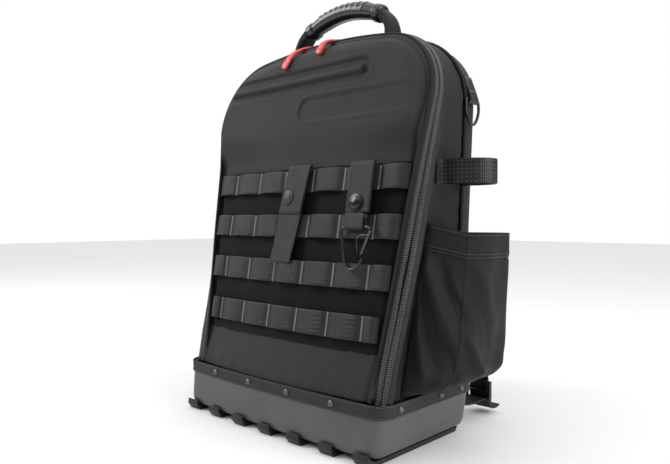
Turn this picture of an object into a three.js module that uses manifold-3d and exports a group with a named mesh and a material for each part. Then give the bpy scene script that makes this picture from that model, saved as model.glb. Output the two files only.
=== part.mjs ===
// Tool backpack: a soft bag with a moulded front shell on a moulded base tray.
// Units are millimetres. +Z is up, -Y is the front of the bag and +Y faces the wearer's back.
// The origin is the middle of the base, on the ground under the middle foot.
import * as THREE from 'three';
import { mergeVertices } from 'three/addons/utils/BufferGeometryUtils.js';
import Module from 'manifold-3d';

const wasm = await Module();
wasm.setup();

// Small gap kept between pieces that touch
const GAP = 0.3;

// Body outline seen from the front
const HALF_WIDTH_LOW = 150;
const HALF_WIDTH_HIGH = 164;
const WIDTH_LOW_Z = 49;
const WIDTH_HIGH_Z = 369;
const TOP_Z = 436;
const TOP_CORNER_R = 75;
const CROWN = 0.00078;

// Front face, leaning back as it rises
const SLOPE = THREE.MathUtils.degToRad(10.5);
const ROW_TOP_Z = 285;
const UPPER_FACE_Y = -27;
const FIELD_FACE_Y = -23;
const FIELD_CURVE = 0.0004;
const LOW_BAND_TOP_Z = 98;
const LOW_BAND_LEAN = 0.17;
const FIELD_TOP_Z = 296;
const SHOULDER_Z = 334;
const SHELL_WALL = 6;

// Zip round the opening, a plane that leans back more than the face does
const ZIP_HIGH_Y = 16;
const ZIP_LEAN = 0.219;
const ZIP_HALF_WIDTH = 6.5;
const ZIP_RECESS = 3;

// Body gusset and padded back section
const BODY_WALL = 3.5;
const BACK_SEAM_Y = 66;
const BACK_Y = 112;
const BACK_LOW_Y = 89;
const BACK_SQUEEZE = 0.045;
const BACK_PAD_WALL = 11;
const BACK_EDGE_R = 24;

// Base tray, its binding tape, rivets and feet
const TRAY = { bottomZ: 5, topZ: 56, wall: 3, floor: 3.5, cornerR: 18 };
const TRAY_LOW = { halfWidth: 150, frontY: -80, backY: 85 };
const TRAY_HIGH = { halfWidth: 154, frontY: -74, backY: 91 };
const TRAY_CURVE = 0.00022;
const TAPE = { lowZ: 44, highZ: 57.6, thickness: 1.8 };
const RIVET_R = 3;
const FOOT_PITCH = 44.8;
const FOOT_COUNT = 7;
const FOOT_WIDTH = 19;

// Webbing ladder on the front
const ROW_PITCH = 50.8;
const WEBBING_HEIGHT = 25.4;
const WEBBING_THICKNESS = 1.5;
const TACK_PITCH = 44.8;
const LOOP_BULGE = 4;
const ROW_HALF_LENGTHS = [147, 143, 138, 131];

const degrees = THREE.MathUtils.degToRad;
const smooth = THREE.MathUtils.smoothstep;
const lerp = THREE.MathUtils.lerp;
const vec = (x, y, z) => new THREE.Vector3(x, y, z);

const bag = new THREE.Group();

/** A geometry from loose triangles: equal corners merge, collapsed faces go, faces turn outwards. */
function solidFromTriangles(triangles) {
  const places = new Map();
  const positions = [];
  const index = [];
  const cornerOf = (p) => {
    const key = `${Math.round(p.x * 1000)},${Math.round(p.y * 1000)},${Math.round(p.z * 1000)}`;
    if (!places.has(key)) {
      places.set(key, positions.length / 3);
      positions.push(p.x, p.y, p.z);
    }
    return places.get(key);
  };
  let volume = 0;
  for (const [a, b, c] of triangles) {
    const [i, j, k] = [cornerOf(a), cornerOf(b), cornerOf(c)];
    if (i === j || j === k || i === k) continue;
    index.push(i, j, k);
    volume += a.dot(b.clone().cross(c));
  }
  if (volume < 0) {
    for (let n = 0; n < index.length; n += 3) {
      [index[n + 1], index[n + 2]] = [index[n + 2], index[n + 1]];
    }
  }
  const geometry = new THREE.BufferGeometry();
  geometry.setAttribute('position', new THREE.Float32BufferAttribute(positions, 3));
  geometry.setIndex(index);
  return geometry;
}

/** Two triangles for the square a, b, c, d. */
function square(a, b, c, d) {
  return [[a, b, c], [a, c, d]];
}

/** A wall between two grids of points of one shape, joined along their open borders. */
function wallBetween(outer, inner, loop = false) {
  const triangles = [];
  const rows = outer.length;
  const columns = outer[0].length;
  const lastColumn = loop ? columns : columns - 1;
  const next = (j) => (j + 1) % columns;
  for (let i = 0; i + 1 < rows; i += 1) {
    for (let j = 0; j < lastColumn; j += 1) {
      const k = next(j);
      triangles.push(...square(outer[i][j], outer[i][k], outer[i + 1][k], outer[i + 1][j]));
      triangles.push(...square(inner[i][j], inner[i + 1][j], inner[i + 1][k], inner[i][k]));
    }
  }
  for (let j = 0; j < lastColumn; j += 1) {
    const k = next(j);
    const end = rows - 1;
    triangles.push(...square(outer[0][k], outer[0][j], inner[0][j], inner[0][k]));
    triangles.push(...square(outer[end][j], outer[end][k], inner[end][k], inner[end][j]));
  }
  if (!loop) {
    const end = columns - 1;
    for (let i = 0; i + 1 < rows; i += 1) {
      triangles.push(...square(outer[i][0], outer[i + 1][0], inner[i + 1][0], inner[i][0]));
      triangles.push(...square(outer[i + 1][end], outer[i][end], inner[i][end], inner[i + 1][end]));
    }
  }
  return solidFromTriangles(triangles);
}

/** A solid through closed rings of points; a closed sweep joins its last ring to its first. */
function sweepRings(rings, closed = false) {
  const triangles = [];
  const count = rings[0].length;
  const spans = closed ? rings.length : rings.length - 1;
  for (let i = 0; i < spans; i += 1) {
    const near = rings[i];
    const far = rings[(i + 1) % rings.length];
    for (let j = 0; j < count; j += 1) {
      const k = (j + 1) % count;
      triangles.push(...square(near[j], near[k], far[k], far[j]));
    }
  }
  if (!closed) {
    const cap = (ring, flip) => {
      for (let j = 1; j + 1 < ring.length; j += 1) {
        triangles.push(flip ? [ring[0], ring[j + 1], ring[j]] : [ring[0], ring[j], ring[j + 1]]);
      }
    };
    cap(rings[0], true);
    cap(rings[rings.length - 1], false);
  }
  return solidFromTriangles(triangles);
}

/** A flat band: each station has its middle, its width and thickness directions and its sizes. */
function band(stations, closed = false) {
  const rings = stations.map(({ at, across, out, width, thickness }) => {
    const side = across.clone().multiplyScalar(width / 2);
    const depth = out.clone().multiplyScalar(thickness / 2);
    return [
      at.clone().sub(side).sub(depth),
      at.clone().add(side).sub(depth),
      at.clone().add(side).add(depth),
      at.clone().sub(side).add(depth),
    ];
  });
  return sweepRings(rings, closed);
}

/** A round bar along a closed path that lies in the plane with the given normal. */
function closedBar(points, normal, radius, sides = 8) {
  const curve = new THREE.CatmullRomCurve3(points, true, 'centripetal');
  const steps = points.length * 2;
  const rings = [];
  for (let i = 0; i < steps; i += 1) {
    const centre = curve.getPointAt(i / steps);
    const outwards = curve.getTangentAt(i / steps).cross(normal).normalize();
    const ring = [];
    for (let j = 0; j < sides; j += 1) {
      const angle = (2 * Math.PI * j) / sides;
      ring.push(centre.clone()
        .addScaledVector(outwards, radius * Math.cos(angle))
        .addScaledVector(normal, radius * Math.sin(angle)));
    }
    rings.push(ring);
  }
  return sweepRings(rings, true);
}

/** A round bar along an open path, by extrusion. */
function openBar(points, radius, steps, sides = 8) {
  const section = new THREE.Shape();
  for (let j = 0; j < sides; j += 1) {
    const angle = (2 * Math.PI * j) / sides;
    const [x, y] = [radius * Math.cos(angle), radius * Math.sin(angle)];
    if (j === 0) section.moveTo(x, y);
    else section.lineTo(x, y);
  }
  section.closePath();
  const extrudePath = new THREE.CatmullRomCurve3(points, false, 'centripetal');
  return merged(new THREE.ExtrudeGeometry(section, { steps, extrudePath, curveSegments: 1 }));
}

/** The same geometry with position alone and its shared corners merged. */
function merged(geometry) {
  geometry.deleteAttribute('normal');
  geometry.deleteAttribute('uv');
  return mergeVertices(geometry, 1e-4);
}

function toManifold(geometry) {
  return new wasm.Manifold(new wasm.Mesh({
    numProp: 3,
    vertProperties: Float32Array.from(geometry.attributes.position.array),
    triVerts: Uint32Array.from(geometry.index.array),
  }));
}

function fromManifold(solid) {
  const mesh = solid.getMesh();
  const geometry = new THREE.BufferGeometry();
  geometry.setAttribute('position', new THREE.BufferAttribute(mesh.vertProperties, 3));
  geometry.setIndex(new THREE.BufferAttribute(mesh.triVerts, 1));
  return geometry;
}

// Materials
const finish = (color, roughness, metalness = 0) =>
  new THREE.MeshStandardMaterial({ color, roughness, metalness });
const shellFabric = finish(0x38383a, 0.8);
const bodyFabric = finish(0x2b2b2d, 0.85);
const webbing = finish(0x262628, 0.6);
const trayPlastic = finish(0x4c4d4f, 0.45);
const rubber = finish(0x161617, 0.7);
const zipTeeth = finish(0x3a3a3c, 0.5);
const blackMetal = finish(0x151516, 0.35, 0.8);
const rivetMetal = finish(0x6c6d70, 0.4, 0.7);
const redPull = finish(0xd9414c, 0.5);
const blackPlastic = finish(0x1a1a1b, 0.4);

// The soft body is fuller on its left side, above the tray
const LEFT_FULLNESS = 8;

/** Moves the points of the left side outwards, more the higher and the further out they are. */
function fillLeftSide(geometry) {
  const position = geometry.attributes.position;
  for (let i = 0; i < position.count; i += 1) {
    const x = position.getX(i);
    const share = smooth(-x, 40, 160) * smooth(position.getZ(i), 58, 230);
    position.setX(i, x - LEFT_FULLNESS * share);
  }
}

/** Adds one named piece to the bag. */
function piece(name, geometry, material) {
  fillLeftSide(geometry);
  const mesh = new THREE.Mesh(geometry, material);
  mesh.name = name;
  bag.add(mesh);
  return mesh;
}

/** Half width of the bag at a height, below its top corners. */
function halfWidth(z) {
  return lerp(HALF_WIDTH_LOW, HALF_WIDTH_HIGH, (z - WIDTH_LOW_Z) / (WIDTH_HIGH_Z - WIDTH_LOW_Z));
}

/** The top corner arc: its centre, and where it meets the crowned top edge. */
function topCorner(inset, squeeze) {
  const radius = TOP_CORNER_R - inset;
  const top = TOP_Z - inset;
  let centreZ = top - radius;
  let centreX = 0;
  let lean = 0;
  for (let i = 0; i < 4; i += 1) {
    centreX = halfWidth(centreZ) * squeeze - inset - radius;
    const endX = centreX + radius * Math.sin(lean);
    lean = Math.atan(2 * CROWN * endX);
    centreZ = top - CROWN * endX * endX - radius * Math.cos(lean);
  }
  return { radius, top, centreX, centreZ, lean };
}

const SIDE_LEVELS = [56 + GAP, 110, 165, 220, 275];
const CORNER_ANGLES = [0, 6, 14, 24, 36, 50, 65].map(degrees);
const CROWN_STEPS = 3;

/** Outline of the bag seen from the front, from its right foot over the top to its left foot. */
function archOutline(inset = 0, squeeze = 1) {
  const { radius, top, centreX, centreZ, lean } = topCorner(inset, squeeze);
  const right = SIDE_LEVELS.map((z) => ({ x: halfWidth(z) * squeeze - inset, z, sideways: 1, up: 0 }));
  for (const angle of [...CORNER_ANGLES, Math.PI / 2 - lean]) {
    right.push({
      x: centreX + radius * Math.cos(angle),
      z: centreZ + radius * Math.sin(angle),
      sideways: Math.cos(angle),
      up: Math.sin(angle),
    });
  }
  const crownEnd = right[right.length - 1].x;
  for (let i = 1; i <= CROWN_STEPS; i += 1) {
    const x = crownEnd * (1 - i / CROWN_STEPS);
    right.push({ x, z: top - CROWN * x * x, sideways: 0, up: 1 });
  }
  const left = right.slice(0, -1).reverse().map((p) => ({ ...p, x: -p.x, sideways: -p.sideways }));
  return [...right, ...left];
}

/** Middle of the zip at a height. */
function zipY(z) {
  return ZIP_HIGH_Y + ZIP_LEAN * (z - WIDTH_HIGH_Z);
}

/** How far a point of the front view lies inside the outline. */
function insideOutline(x, z, squeeze = 1) {
  const { radius, top, centreX, centreZ } = topCorner(0, squeeze);
  const across = Math.abs(x);
  if (z <= centreZ) return halfWidth(z) * squeeze - across;
  if (across > centreX) return radius - Math.hypot(across - centreX, z - centreZ);
  return top - CROWN * x * x - z;
}

/** A quarter-round edge: 0 at the rim, 1 from one edge radius inwards. */
function roundedEdge(distance, radius) {
  const left = 1 - THREE.MathUtils.clamp(distance / radius, 0, 1);
  return Math.sqrt(1 - left * left);
}

/** Front face of the shell before its edges are rounded. */
function openFaceY(x, z) {
  const lean = Math.tan(SLOPE) * (z - ROW_TOP_Z);
  const field = FIELD_FACE_Y + FIELD_CURVE * x * x - LOW_BAND_LEAN * Math.max(0, LOW_BAND_TOP_Z - z);
  return lean + lerp(field, UPPER_FACE_Y, smooth(z, FIELD_TOP_Z, SHOULDER_Z));
}

/** Front face of the shell, rounded back to the zip along its edges. */
function shellFaceY(x, z, inset = 0) {
  const upper = smooth(z, FIELD_TOP_Z, SHOULDER_Z);
  const edgeRadius = lerp(8, 21, upper);
  const rim = zipY(Math.min(z, TOP_Z)) - ZIP_HALF_WIDTH;
  const rise = roundedEdge(insideOutline(x, z) - inset, edgeRadius);
  return rim - (rim - openFaceY(x, z) - inset) * rise;
}

/** Columns of a dished panel, as shares of its half width, and the height of its top over each. */
function panelColumns(inset, squeeze) {
  const outline = archOutline(inset, squeeze);
  const firstTop = SIDE_LEVELS.length;
  return outline.slice(firstTop, outline.length - firstTop).reverse();
}

/** Grid over a dished panel: rows climb from its foot to its top edge. */
function panelGrid(levels, inset, squeeze, depthAt) {
  const columns = panelColumns(inset, squeeze);
  const sideZ = columns[0].z;
  const sideX = halfWidth(sideZ) * squeeze - inset;
  const foot = SIDE_LEVELS[0];
  return levels.map((share) => columns.map((column) => {
    const z = foot + (column.z - foot) * share;
    const spread = halfWidth(Math.min(z, sideZ)) * squeeze - inset;
    const x = (column.x / sideX) * spread;
    return vec(share === 1 ? column.x : x, depthAt(x, z), z);
  }));
}

/** Heights of a panel's rows as shares of its height: named levels, then close rows at the top. */
function panelLevels(heights, edgeInsets) {
  const foot = SIDE_LEVELS[0];
  const height = TOP_Z - foot;
  return [...heights.map((z) => (z - foot) / height), ...edgeInsets.map((d) => 1 - d / height)];
}

/** A stadium-shaped slab that follows the shell's face, from above it to a depth below it. */
function faceSlab({ leftX, rightX, middleZ, height, tilt = 0 }, above, below) {
  const radius = height / 2;
  const outline = [];
  const lengthSteps = 10;
  const endSteps = 6;
  const left = leftX + radius;
  const right = rightX - radius;
  for (let i = 0; i <= lengthSteps; i += 1) {
    outline.push([lerp(left, right, i / lengthSteps), -radius]);
  }
  for (let i = 1; i < endSteps; i += 1) {
    const angle = -Math.PI / 2 + (Math.PI * i) / endSteps;
    outline.push([right + radius * Math.cos(angle), radius * Math.sin(angle)]);
  }
  for (let i = 0; i <= lengthSteps; i += 1) {
    outline.push([lerp(right, left, i / lengthSteps), radius]);
  }
  for (let i = 1; i < endSteps; i += 1) {
    const angle = Math.PI / 2 + (Math.PI * i) / endSteps;
    outline.push([left + radius * Math.cos(angle), radius * Math.sin(angle)]);
  }
  const layer = (offset) => outline.map(([x, up]) => {
    const z = middleZ + up + tilt * (x - left);
    return vec(x, shellFaceY(x, z) + offset, z);
  });
  const front = layer(-above);
  const back = layer(below);
  const triangles = [];
  const count = outline.length;
  for (let j = 0; j < count; j += 1) {
    const k = (j + 1) % count;
    triangles.push(...square(front[k], front[j], back[j], back[k]));
  }
  const flat = outline.map(([x, up]) => new THREE.Vector2(x, up));
  for (const [a, b, c] of THREE.ShapeUtils.triangulateShape(flat, [])) {
    triangles.push([front[a], front[b], front[c]]);
    triangles.push([back[a], back[c], back[b]]);
  }
  return solidFromTriangles(triangles);
}

const RIB_GROOVE = { leftX: -141, rightX: 86, middleZ: 392, height: 25 };
const RIB = { leftX: -139, rightX: 78, middleZ: 392, height: 9 };
const LOGO_RECESS = { leftX: -16, rightX: 138, middleZ: 355, height: 28 };

function addFrontShell() {
  const heights = [56 + GAP, 76, 98, 122, 148, 172, 198, 222, 247, 272, 296, 315, 334, 352, 372, 392, 408];
  const levels = panelLevels(heights, [17, 9, 3.6, 1, 0]);
  const outer = panelGrid(levels, 0, 1, (x, z) => shellFaceY(x, z));
  const inner = panelGrid(levels, SHELL_WALL, 1, (x, z) => shellFaceY(x, z, SHELL_WALL));
  let shell = toManifold(wallBetween(outer, inner));
  shell = shell.subtract(toManifold(faceSlab(RIB_GROOVE, 8, 2.4)));
  shell = shell.subtract(toManifold(faceSlab(LOGO_RECESS, 8, 2)));
  piece('front_shell', fromManifold(shell), shellFabric);
  piece('front_rib', faceSlab(RIB, 2.2, 2.4 - GAP), shellFabric);
}

/** Rings of the gusset from the zip back to the rear seam. */
function gussetRings(inset) {
  const stations = [
    { share: 0, tuck: 1.5 },
    { share: 0.12, tuck: 0 },
    { share: 0.85, tuck: 0 },
    { share: 1, tuck: 1.5 },
  ];
  return stations.map(({ share, tuck }) => {
    const squeeze = 1 - BACK_SQUEEZE * share;
    return archOutline(inset + tuck, squeeze).map(({ x, z }) => {
      const front = zipY(z) + ZIP_HALF_WIDTH;
      return vec(x, lerp(front, BACK_SEAM_Y, share), z);
    });
  });
}

/** Half width of the bag at a depth and height, on its flat side. */
function sideX(y, z) {
  const front = zipY(z) + ZIP_HALF_WIDTH;
  const share = THREE.MathUtils.clamp((y - front) / (BACK_SEAM_Y - front), 0, 1);
  return halfWidth(z) * (1 - BACK_SQUEEZE * share);
}

/** Outer face of the padded back section before its edges are rounded. */
function backFaceY(x, z) {
  const rise = lerp(BACK_LOW_Y, BACK_Y, smooth(z, 50, 150));
  const across = Math.abs(x);
  const channel = 5 * Math.exp(-((across / 14) ** 2)) * smooth(z, 110, 160);
  const lumbar = 4 * Math.exp(-(((z - 150) / 40) ** 2));
  return rise - channel + lumbar;
}

function backPanelY(x, z, inset) {
  const squeeze = 1 - BACK_SQUEEZE;
  const rim = BACK_SEAM_Y + GAP;
  const rise = roundedEdge(insideOutline(x, z, squeeze) - inset, BACK_EDGE_R);
  return rim + (backFaceY(x, z) - inset - rim) * rise;
}

function addBackPanel() {
  const squeeze = 1 - BACK_SQUEEZE;
  const heights = [56 + GAP, 78, 102, 128, 155, 185, 225, 265, 305, 345, 380, 404];
  const levels = panelLevels(heights, [20, 11, 4, 0]);
  const outer = panelGrid(levels, 1.5, squeeze, (x, z) => backPanelY(x, z, 1.5));
  const inner = panelGrid(levels, BACK_PAD_WALL, squeeze, (x, z) => backPanelY(x, z, BACK_PAD_WALL));
  piece('back_panel', wallBetween(outer, inner), bodyFabric);
}

function addBody() {
  piece('body_gusset', wallBetween(gussetRings(0), gussetRings(BODY_WALL)), bodyFabric);
}

/** Chain and tape of the zip, lying in the groove between shell and gusset. */
function addZip() {
  const edge = ZIP_HALF_WIDTH - 3 * GAP;
  const section = [
    { along: -edge, out: -2 },
    { along: edge, out: -2 },
    { along: edge, out: 0 },
    { along: 4.6, out: 0.2 },
    { along: 3.4, out: 2.6 },
    { along: -3.4, out: 2.6 },
    { along: -4.6, out: 0.2 },
    { along: -edge, out: 0 },
  ];
  const rings = archOutline(ZIP_RECESS).map(({ x, z, sideways, up }) => section.map(({ along, out }) =>
    vec(x + sideways * out, zipY(z) + along, z + up * out)));
  piece('zip', sweepRings(rings), zipTeeth);
}

/** Right half of the tray's plan, from the middle of its front to the middle of its back. */
function planHalf(halfWidthHere, frontY, backY, cornerR) {
  const straight = halfWidthHere - cornerR;
  const points = [];
  for (const x of [0, 45, 90, straight]) {
    points.push([x, frontY + TRAY_CURVE * x * x]);
  }
  const arcSteps = 4;
  const frontCentreY = frontY + TRAY_CURVE * straight * straight + cornerR;
  for (let i = 1; i <= arcSteps; i += 1) {
    const angle = -Math.PI / 2 + (Math.PI / 2) * (i / arcSteps);
    points.push([straight + cornerR * Math.cos(angle), frontCentreY + cornerR * Math.sin(angle)]);
  }
  points.push([halfWidthHere, (frontY + backY) / 2]);
  for (let i = 0; i <= arcSteps; i += 1) {
    const angle = (Math.PI / 2) * (i / arcSteps);
    points.push([straight + cornerR * Math.cos(angle), backY - cornerR + cornerR * Math.sin(angle)]);
  }
  points.push([0, backY]);
  return points;
}

/** Whole closed plan of the tray at a height, moved outwards by an offset. */
function trayPlan(z, offset) {
  const share = (z - TRAY.bottomZ) / (TRAY.topZ - TRAY.bottomZ);
  const right = planHalf(
    lerp(TRAY_LOW.halfWidth, TRAY_HIGH.halfWidth, share) + offset,
    lerp(TRAY_LOW.frontY, TRAY_HIGH.frontY, share) - offset,
    lerp(TRAY_LOW.backY, TRAY_HIGH.backY, share) + offset,
    Math.max(2, TRAY.cornerR + offset),
  );
  const left = right.slice(1, -1).reverse().map(([x, y]) => [-x, y]);
  return [...right, ...left].map(([x, y]) => vec(x, y, z));
}

function addTray() {
  const middle = (z) => trayPlan(z, 0).map(() => vec(0, 0, z));
  const outer = [
    trayPlan(TRAY.topZ, 0),
    trayPlan(30, 0),
    trayPlan(15, 0),
    trayPlan(8, -3),
    trayPlan(TRAY.bottomZ, -9),
    middle(TRAY.bottomZ),
  ];
  const floorZ = TRAY.bottomZ + TRAY.floor;
  const inner = [
    trayPlan(TRAY.topZ, -TRAY.wall),
    trayPlan(30, -TRAY.wall),
    trayPlan(16, -TRAY.wall),
    trayPlan(11, -TRAY.wall - 3),
    trayPlan(floorZ, -TRAY.wall - 8),
    middle(floorZ),
  ];
  const shell = wallBetween(outer, inner, true);
  piece('base_tray', shell, trayPlastic);
}

function addTape() {
  const near = GAP;
  const far = GAP + TAPE.thickness;
  const corners = [
    trayPlan(TAPE.lowZ, near),
    trayPlan(TAPE.lowZ, far),
    trayPlan(TAPE.highZ, far),
    trayPlan(TAPE.highZ, near),
  ];
  const rings = corners[0].map((point, i) => corners.map((ring) => ring[i]));
  piece('binding_tape', sweepRings(rings, true), webbing);
}

/** Domed rivets through the binding tape, each square to the tray's wall. */
function addRivets() {
  const height = (TAPE.lowZ + TAPE.highZ) / 2;
  const share = (height - TRAY.bottomZ) / (TRAY.topZ - TRAY.bottomZ);
  const stand = 2 * GAP + TAPE.thickness + 0.3;
  const front = lerp(TRAY_LOW.frontY, TRAY_HIGH.frontY, share) - stand;
  const back = lerp(TRAY_LOW.backY, TRAY_HIGH.backY, share) + stand;
  const side = lerp(TRAY_LOW.halfWidth, TRAY_HIGH.halfWidth, share) + stand;
  const places = [];
  for (const x of [-93, -31, 31, 93]) {
    places.push({ x, y: front + TRAY_CURVE * x * x, outwards: vec(0, -1, 0) });
    places.push({ x, y: back, outwards: vec(0, 1, 0) });
  }
  for (const hand of [-1, 1]) {
    for (const y of [-44, 24, 62]) {
      places.push({ x: hand * side, y, outwards: vec(hand, 0, 0) });
    }
  }
  const dome = [[0, 0], [RIVET_R, 0], [RIVET_R, 0.6], [RIVET_R * 0.6, 1.5], [0, 1.8]];
  const profile = dome.map(([r, h]) => new THREE.Vector2(r, h));
  places.forEach(({ x, y, outwards }, i) => {
    const rivet = merged(new THREE.LatheGeometry(profile, 8));
    const mesh = piece(`rivet_${i + 1}`, rivet, rivetMetal);
    mesh.quaternion.setFromUnitVectors(vec(0, 1, 0), outwards);
    mesh.position.set(x, y, height);
  });
}

/** Rubber feet under the tray, wrapping up over its front edge. */
function addFeet() {
  for (let i = 0; i < FOOT_COUNT; i += 1) {
    const x = FOOT_PITCH * (i - (FOOT_COUNT - 1) / 2);
    const innerEdge = Math.max(0, Math.abs(x) - FOOT_WIDTH / 2);
    const front = TRAY_LOW.frontY + TRAY_CURVE * innerEdge * innerEdge;
    const back = TRAY_LOW.backY;
    const side = [
      [front - 2.6, 18],
      [front - 3, 8],
      [front + 2, 0],
      [back - 16, 0],
      [back - 12, TRAY.bottomZ - GAP],
      [front + 9.5, TRAY.bottomZ - GAP],
      [front + 2.4, 7.6],
      [front - 0.7, 13.5],
      [front - 0.7, 18],
    ];
    const outline = new THREE.Shape(side.map(([y, z]) => new THREE.Vector2(y, z)));
    const foot = new THREE.ExtrudeGeometry(outline, { depth: FOOT_WIDTH, bevelEnabled: false });
    const mesh = piece(`foot_${i + 1}`, merged(foot), rubber);
    const sideways = new THREE.Matrix4().makeBasis(vec(0, 1, 0), vec(0, 0, 1), vec(1, 0, 0));
    mesh.quaternion.setFromRotationMatrix(sideways);
    mesh.position.set(x - FOOT_WIDTH / 2, 0, 0);
  }
}

/** Directions down the webbing field and out of it. */
const DOWN = vec(0, -Math.sin(SLOPE), -Math.cos(SLOPE));
const OUT = vec(0, -Math.cos(SLOPE), Math.sin(SLOPE));

/** A point of the webbing field: across it, down it and standing off its face. */
function fieldPoint(x, down, off) {
  const z = ROW_TOP_Z - Math.cos(SLOPE) * down;
  return vec(x, shellFaceY(x, z), z).addScaledVector(OUT, off);
}

/** The same, measured from a plane with the field's slope, set back as the field is at sagX. */
function planePoint(x, down, off, sagX = x) {
  const face = vec(x, FIELD_FACE_Y + FIELD_CURVE * sagX * sagX, ROW_TOP_Z);
  return face.addScaledVector(DOWN, down).addScaledVector(OUT, off);
}

/** Four rows of flat webbing, stitched down at their tacks and free between them. */
function addWebbingRows() {
  ROW_HALF_LENGTHS.forEach((halfLength, row) => {
    const tacks = [-2.5, -1.5, -0.5, 0.5, 1.5, 2.5].map((n) => n * TACK_PITCH);
    const ends = [-halfLength, ...tacks, halfLength];
    const rings = [];
    for (let i = 0; i + 1 < ends.length; i += 1) {
      for (const { share, lift } of [
        { share: 0.03, lift: 0 },
        { share: 0.2, lift: 0.8 },
        { share: 0.5, lift: 1 },
        { share: 0.8, lift: 0.8 },
        { share: 0.97, lift: 0 },
      ]) {
        const x = lerp(ends[i], ends[i + 1], share);
        const low = 0.4 + LOOP_BULGE * lift;
        const top = row * ROW_PITCH;
        const bottom = top + WEBBING_HEIGHT;
        rings.push([
          fieldPoint(x, top, low),
          fieldPoint(x, top, low + WEBBING_THICKNESS),
          fieldPoint(x, bottom, low + WEBBING_THICKNESS),
          fieldPoint(x, bottom, low),
        ]);
      }
    }
    piece(`webbing_row_${row + 1}`, sweepRings(rings), webbing);
  });
}

/** A hanging strap of one or two layers; it leans sideways as it goes down. */
function hangingStrap(name, { x, width, lean }, profile) {
  const rings = profile.map(({ down, inner, outer }) => {
    const middle = x + lean * down;
    const corner = (hand, off) => planePoint(middle + hand * width / 2, down, off);
    return [corner(-1, inner), corner(1, inner), corner(1, outer), corner(-1, outer)];
  });
  piece(name, sweepRings(rings), webbing);
}

/** A domed press stud on a strap. */
function addSnap(name, x, down, off, radius, material) {
  const dome = [[0, 0], [radius, 0], [radius, 1.2], [radius * 0.72, 2.6], [radius * 0.3, 3.1], [0, 3.2]];
  const stud = merged(new THREE.LatheGeometry(dome.map(([r, h]) => new THREE.Vector2(r, h)), 12));
  const mesh = piece(name, stud, material);
  mesh.position.copy(planePoint(x, down, off, Math.max(0, Math.abs(x) - radius)));
  mesh.quaternion.setFromUnitVectors(vec(0, 1, 0), OUT);
}

const LEFT_STRAP = { x: 5, width: 34.5, lean: -0.135 };
const RIGHT_STRAP = { x: 94.5, width: 31, lean: 0 };
const FLAP_END = 50;
const STRAP_INNER = 6.6;
const FLAP_OUTER = 10.2;

function addHangingStraps() {
  const head = [
    { down: -5, inner: 4.6, outer: 6.2 },
    { down: -4, inner: 5, outer: 9.2 },
    { down: -1, inner: STRAP_INNER, outer: FLAP_OUTER },
    { down: FLAP_END, inner: STRAP_INNER, outer: FLAP_OUTER },
  ];
  const tail = [
    { down: FLAP_END + 0.5, inner: STRAP_INNER, outer: 8.3 },
    { down: 105, inner: STRAP_INNER, outer: 8.3 },
  ];
  hangingStrap('strap_left', LEFT_STRAP, [...head, ...tail]);
  hangingStrap('strap_right', RIGHT_STRAP, head);
  addSnap('snap_left', -6, 32, FLAP_OUTER + GAP, 6.7, rivetMetal);
  addSnap('snap_right', 92.5, 39.4, FLAP_OUTER + GAP, 7.2, blackMetal);
}

// Snap hook: its flat frame hangs from the loop at the foot of the right strap
const HOOK_OFF = 9.6;
const HOOK_BAR_R = 1.5;
const HOOK_TOP_DOWN = 65;
const LOOP_MIDDLE_X = 95;
const HOOK_SAG_X = 83;
const LOOP_WIDTH = 25;
const GATE_PIVOT = { x: 115.5, down: 70 };

function addHookLoop() {
  const legs = { inner: 6.3, outer: 12.9, thickness: 1.5, top: FLAP_END + GAP + 0.4 };
  const outline = new THREE.Shape();
  const middle = (legs.inner + legs.outer) / 2;
  const outerR = (legs.outer - legs.inner) / 2;
  outline.moveTo(legs.inner, -legs.top);
  outline.lineTo(legs.inner, -HOOK_TOP_DOWN);
  outline.absarc(middle, -HOOK_TOP_DOWN, outerR, Math.PI, 2 * Math.PI, false);
  outline.lineTo(legs.outer, -legs.top);
  outline.lineTo(legs.outer - legs.thickness, -legs.top);
  outline.lineTo(legs.outer - legs.thickness, -HOOK_TOP_DOWN);
  outline.absarc(middle, -HOOK_TOP_DOWN, outerR - legs.thickness, 2 * Math.PI, Math.PI, true);
  outline.lineTo(legs.inner + legs.thickness, -legs.top);
  outline.closePath();
  const loop = new THREE.ExtrudeGeometry(outline, { depth: LOOP_WIDTH, bevelEnabled: false, curveSegments: 4 });
  const mesh = piece('hook_loop', merged(loop), webbing);
  const basis = new THREE.Matrix4().makeBasis(OUT, DOWN.clone().negate(), vec(-1, 0, 0));
  mesh.quaternion.setFromRotationMatrix(basis);
  mesh.position.copy(planePoint(LOOP_MIDDLE_X + LOOP_WIDTH / 2, 0, 0, HOOK_SAG_X));
}

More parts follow.
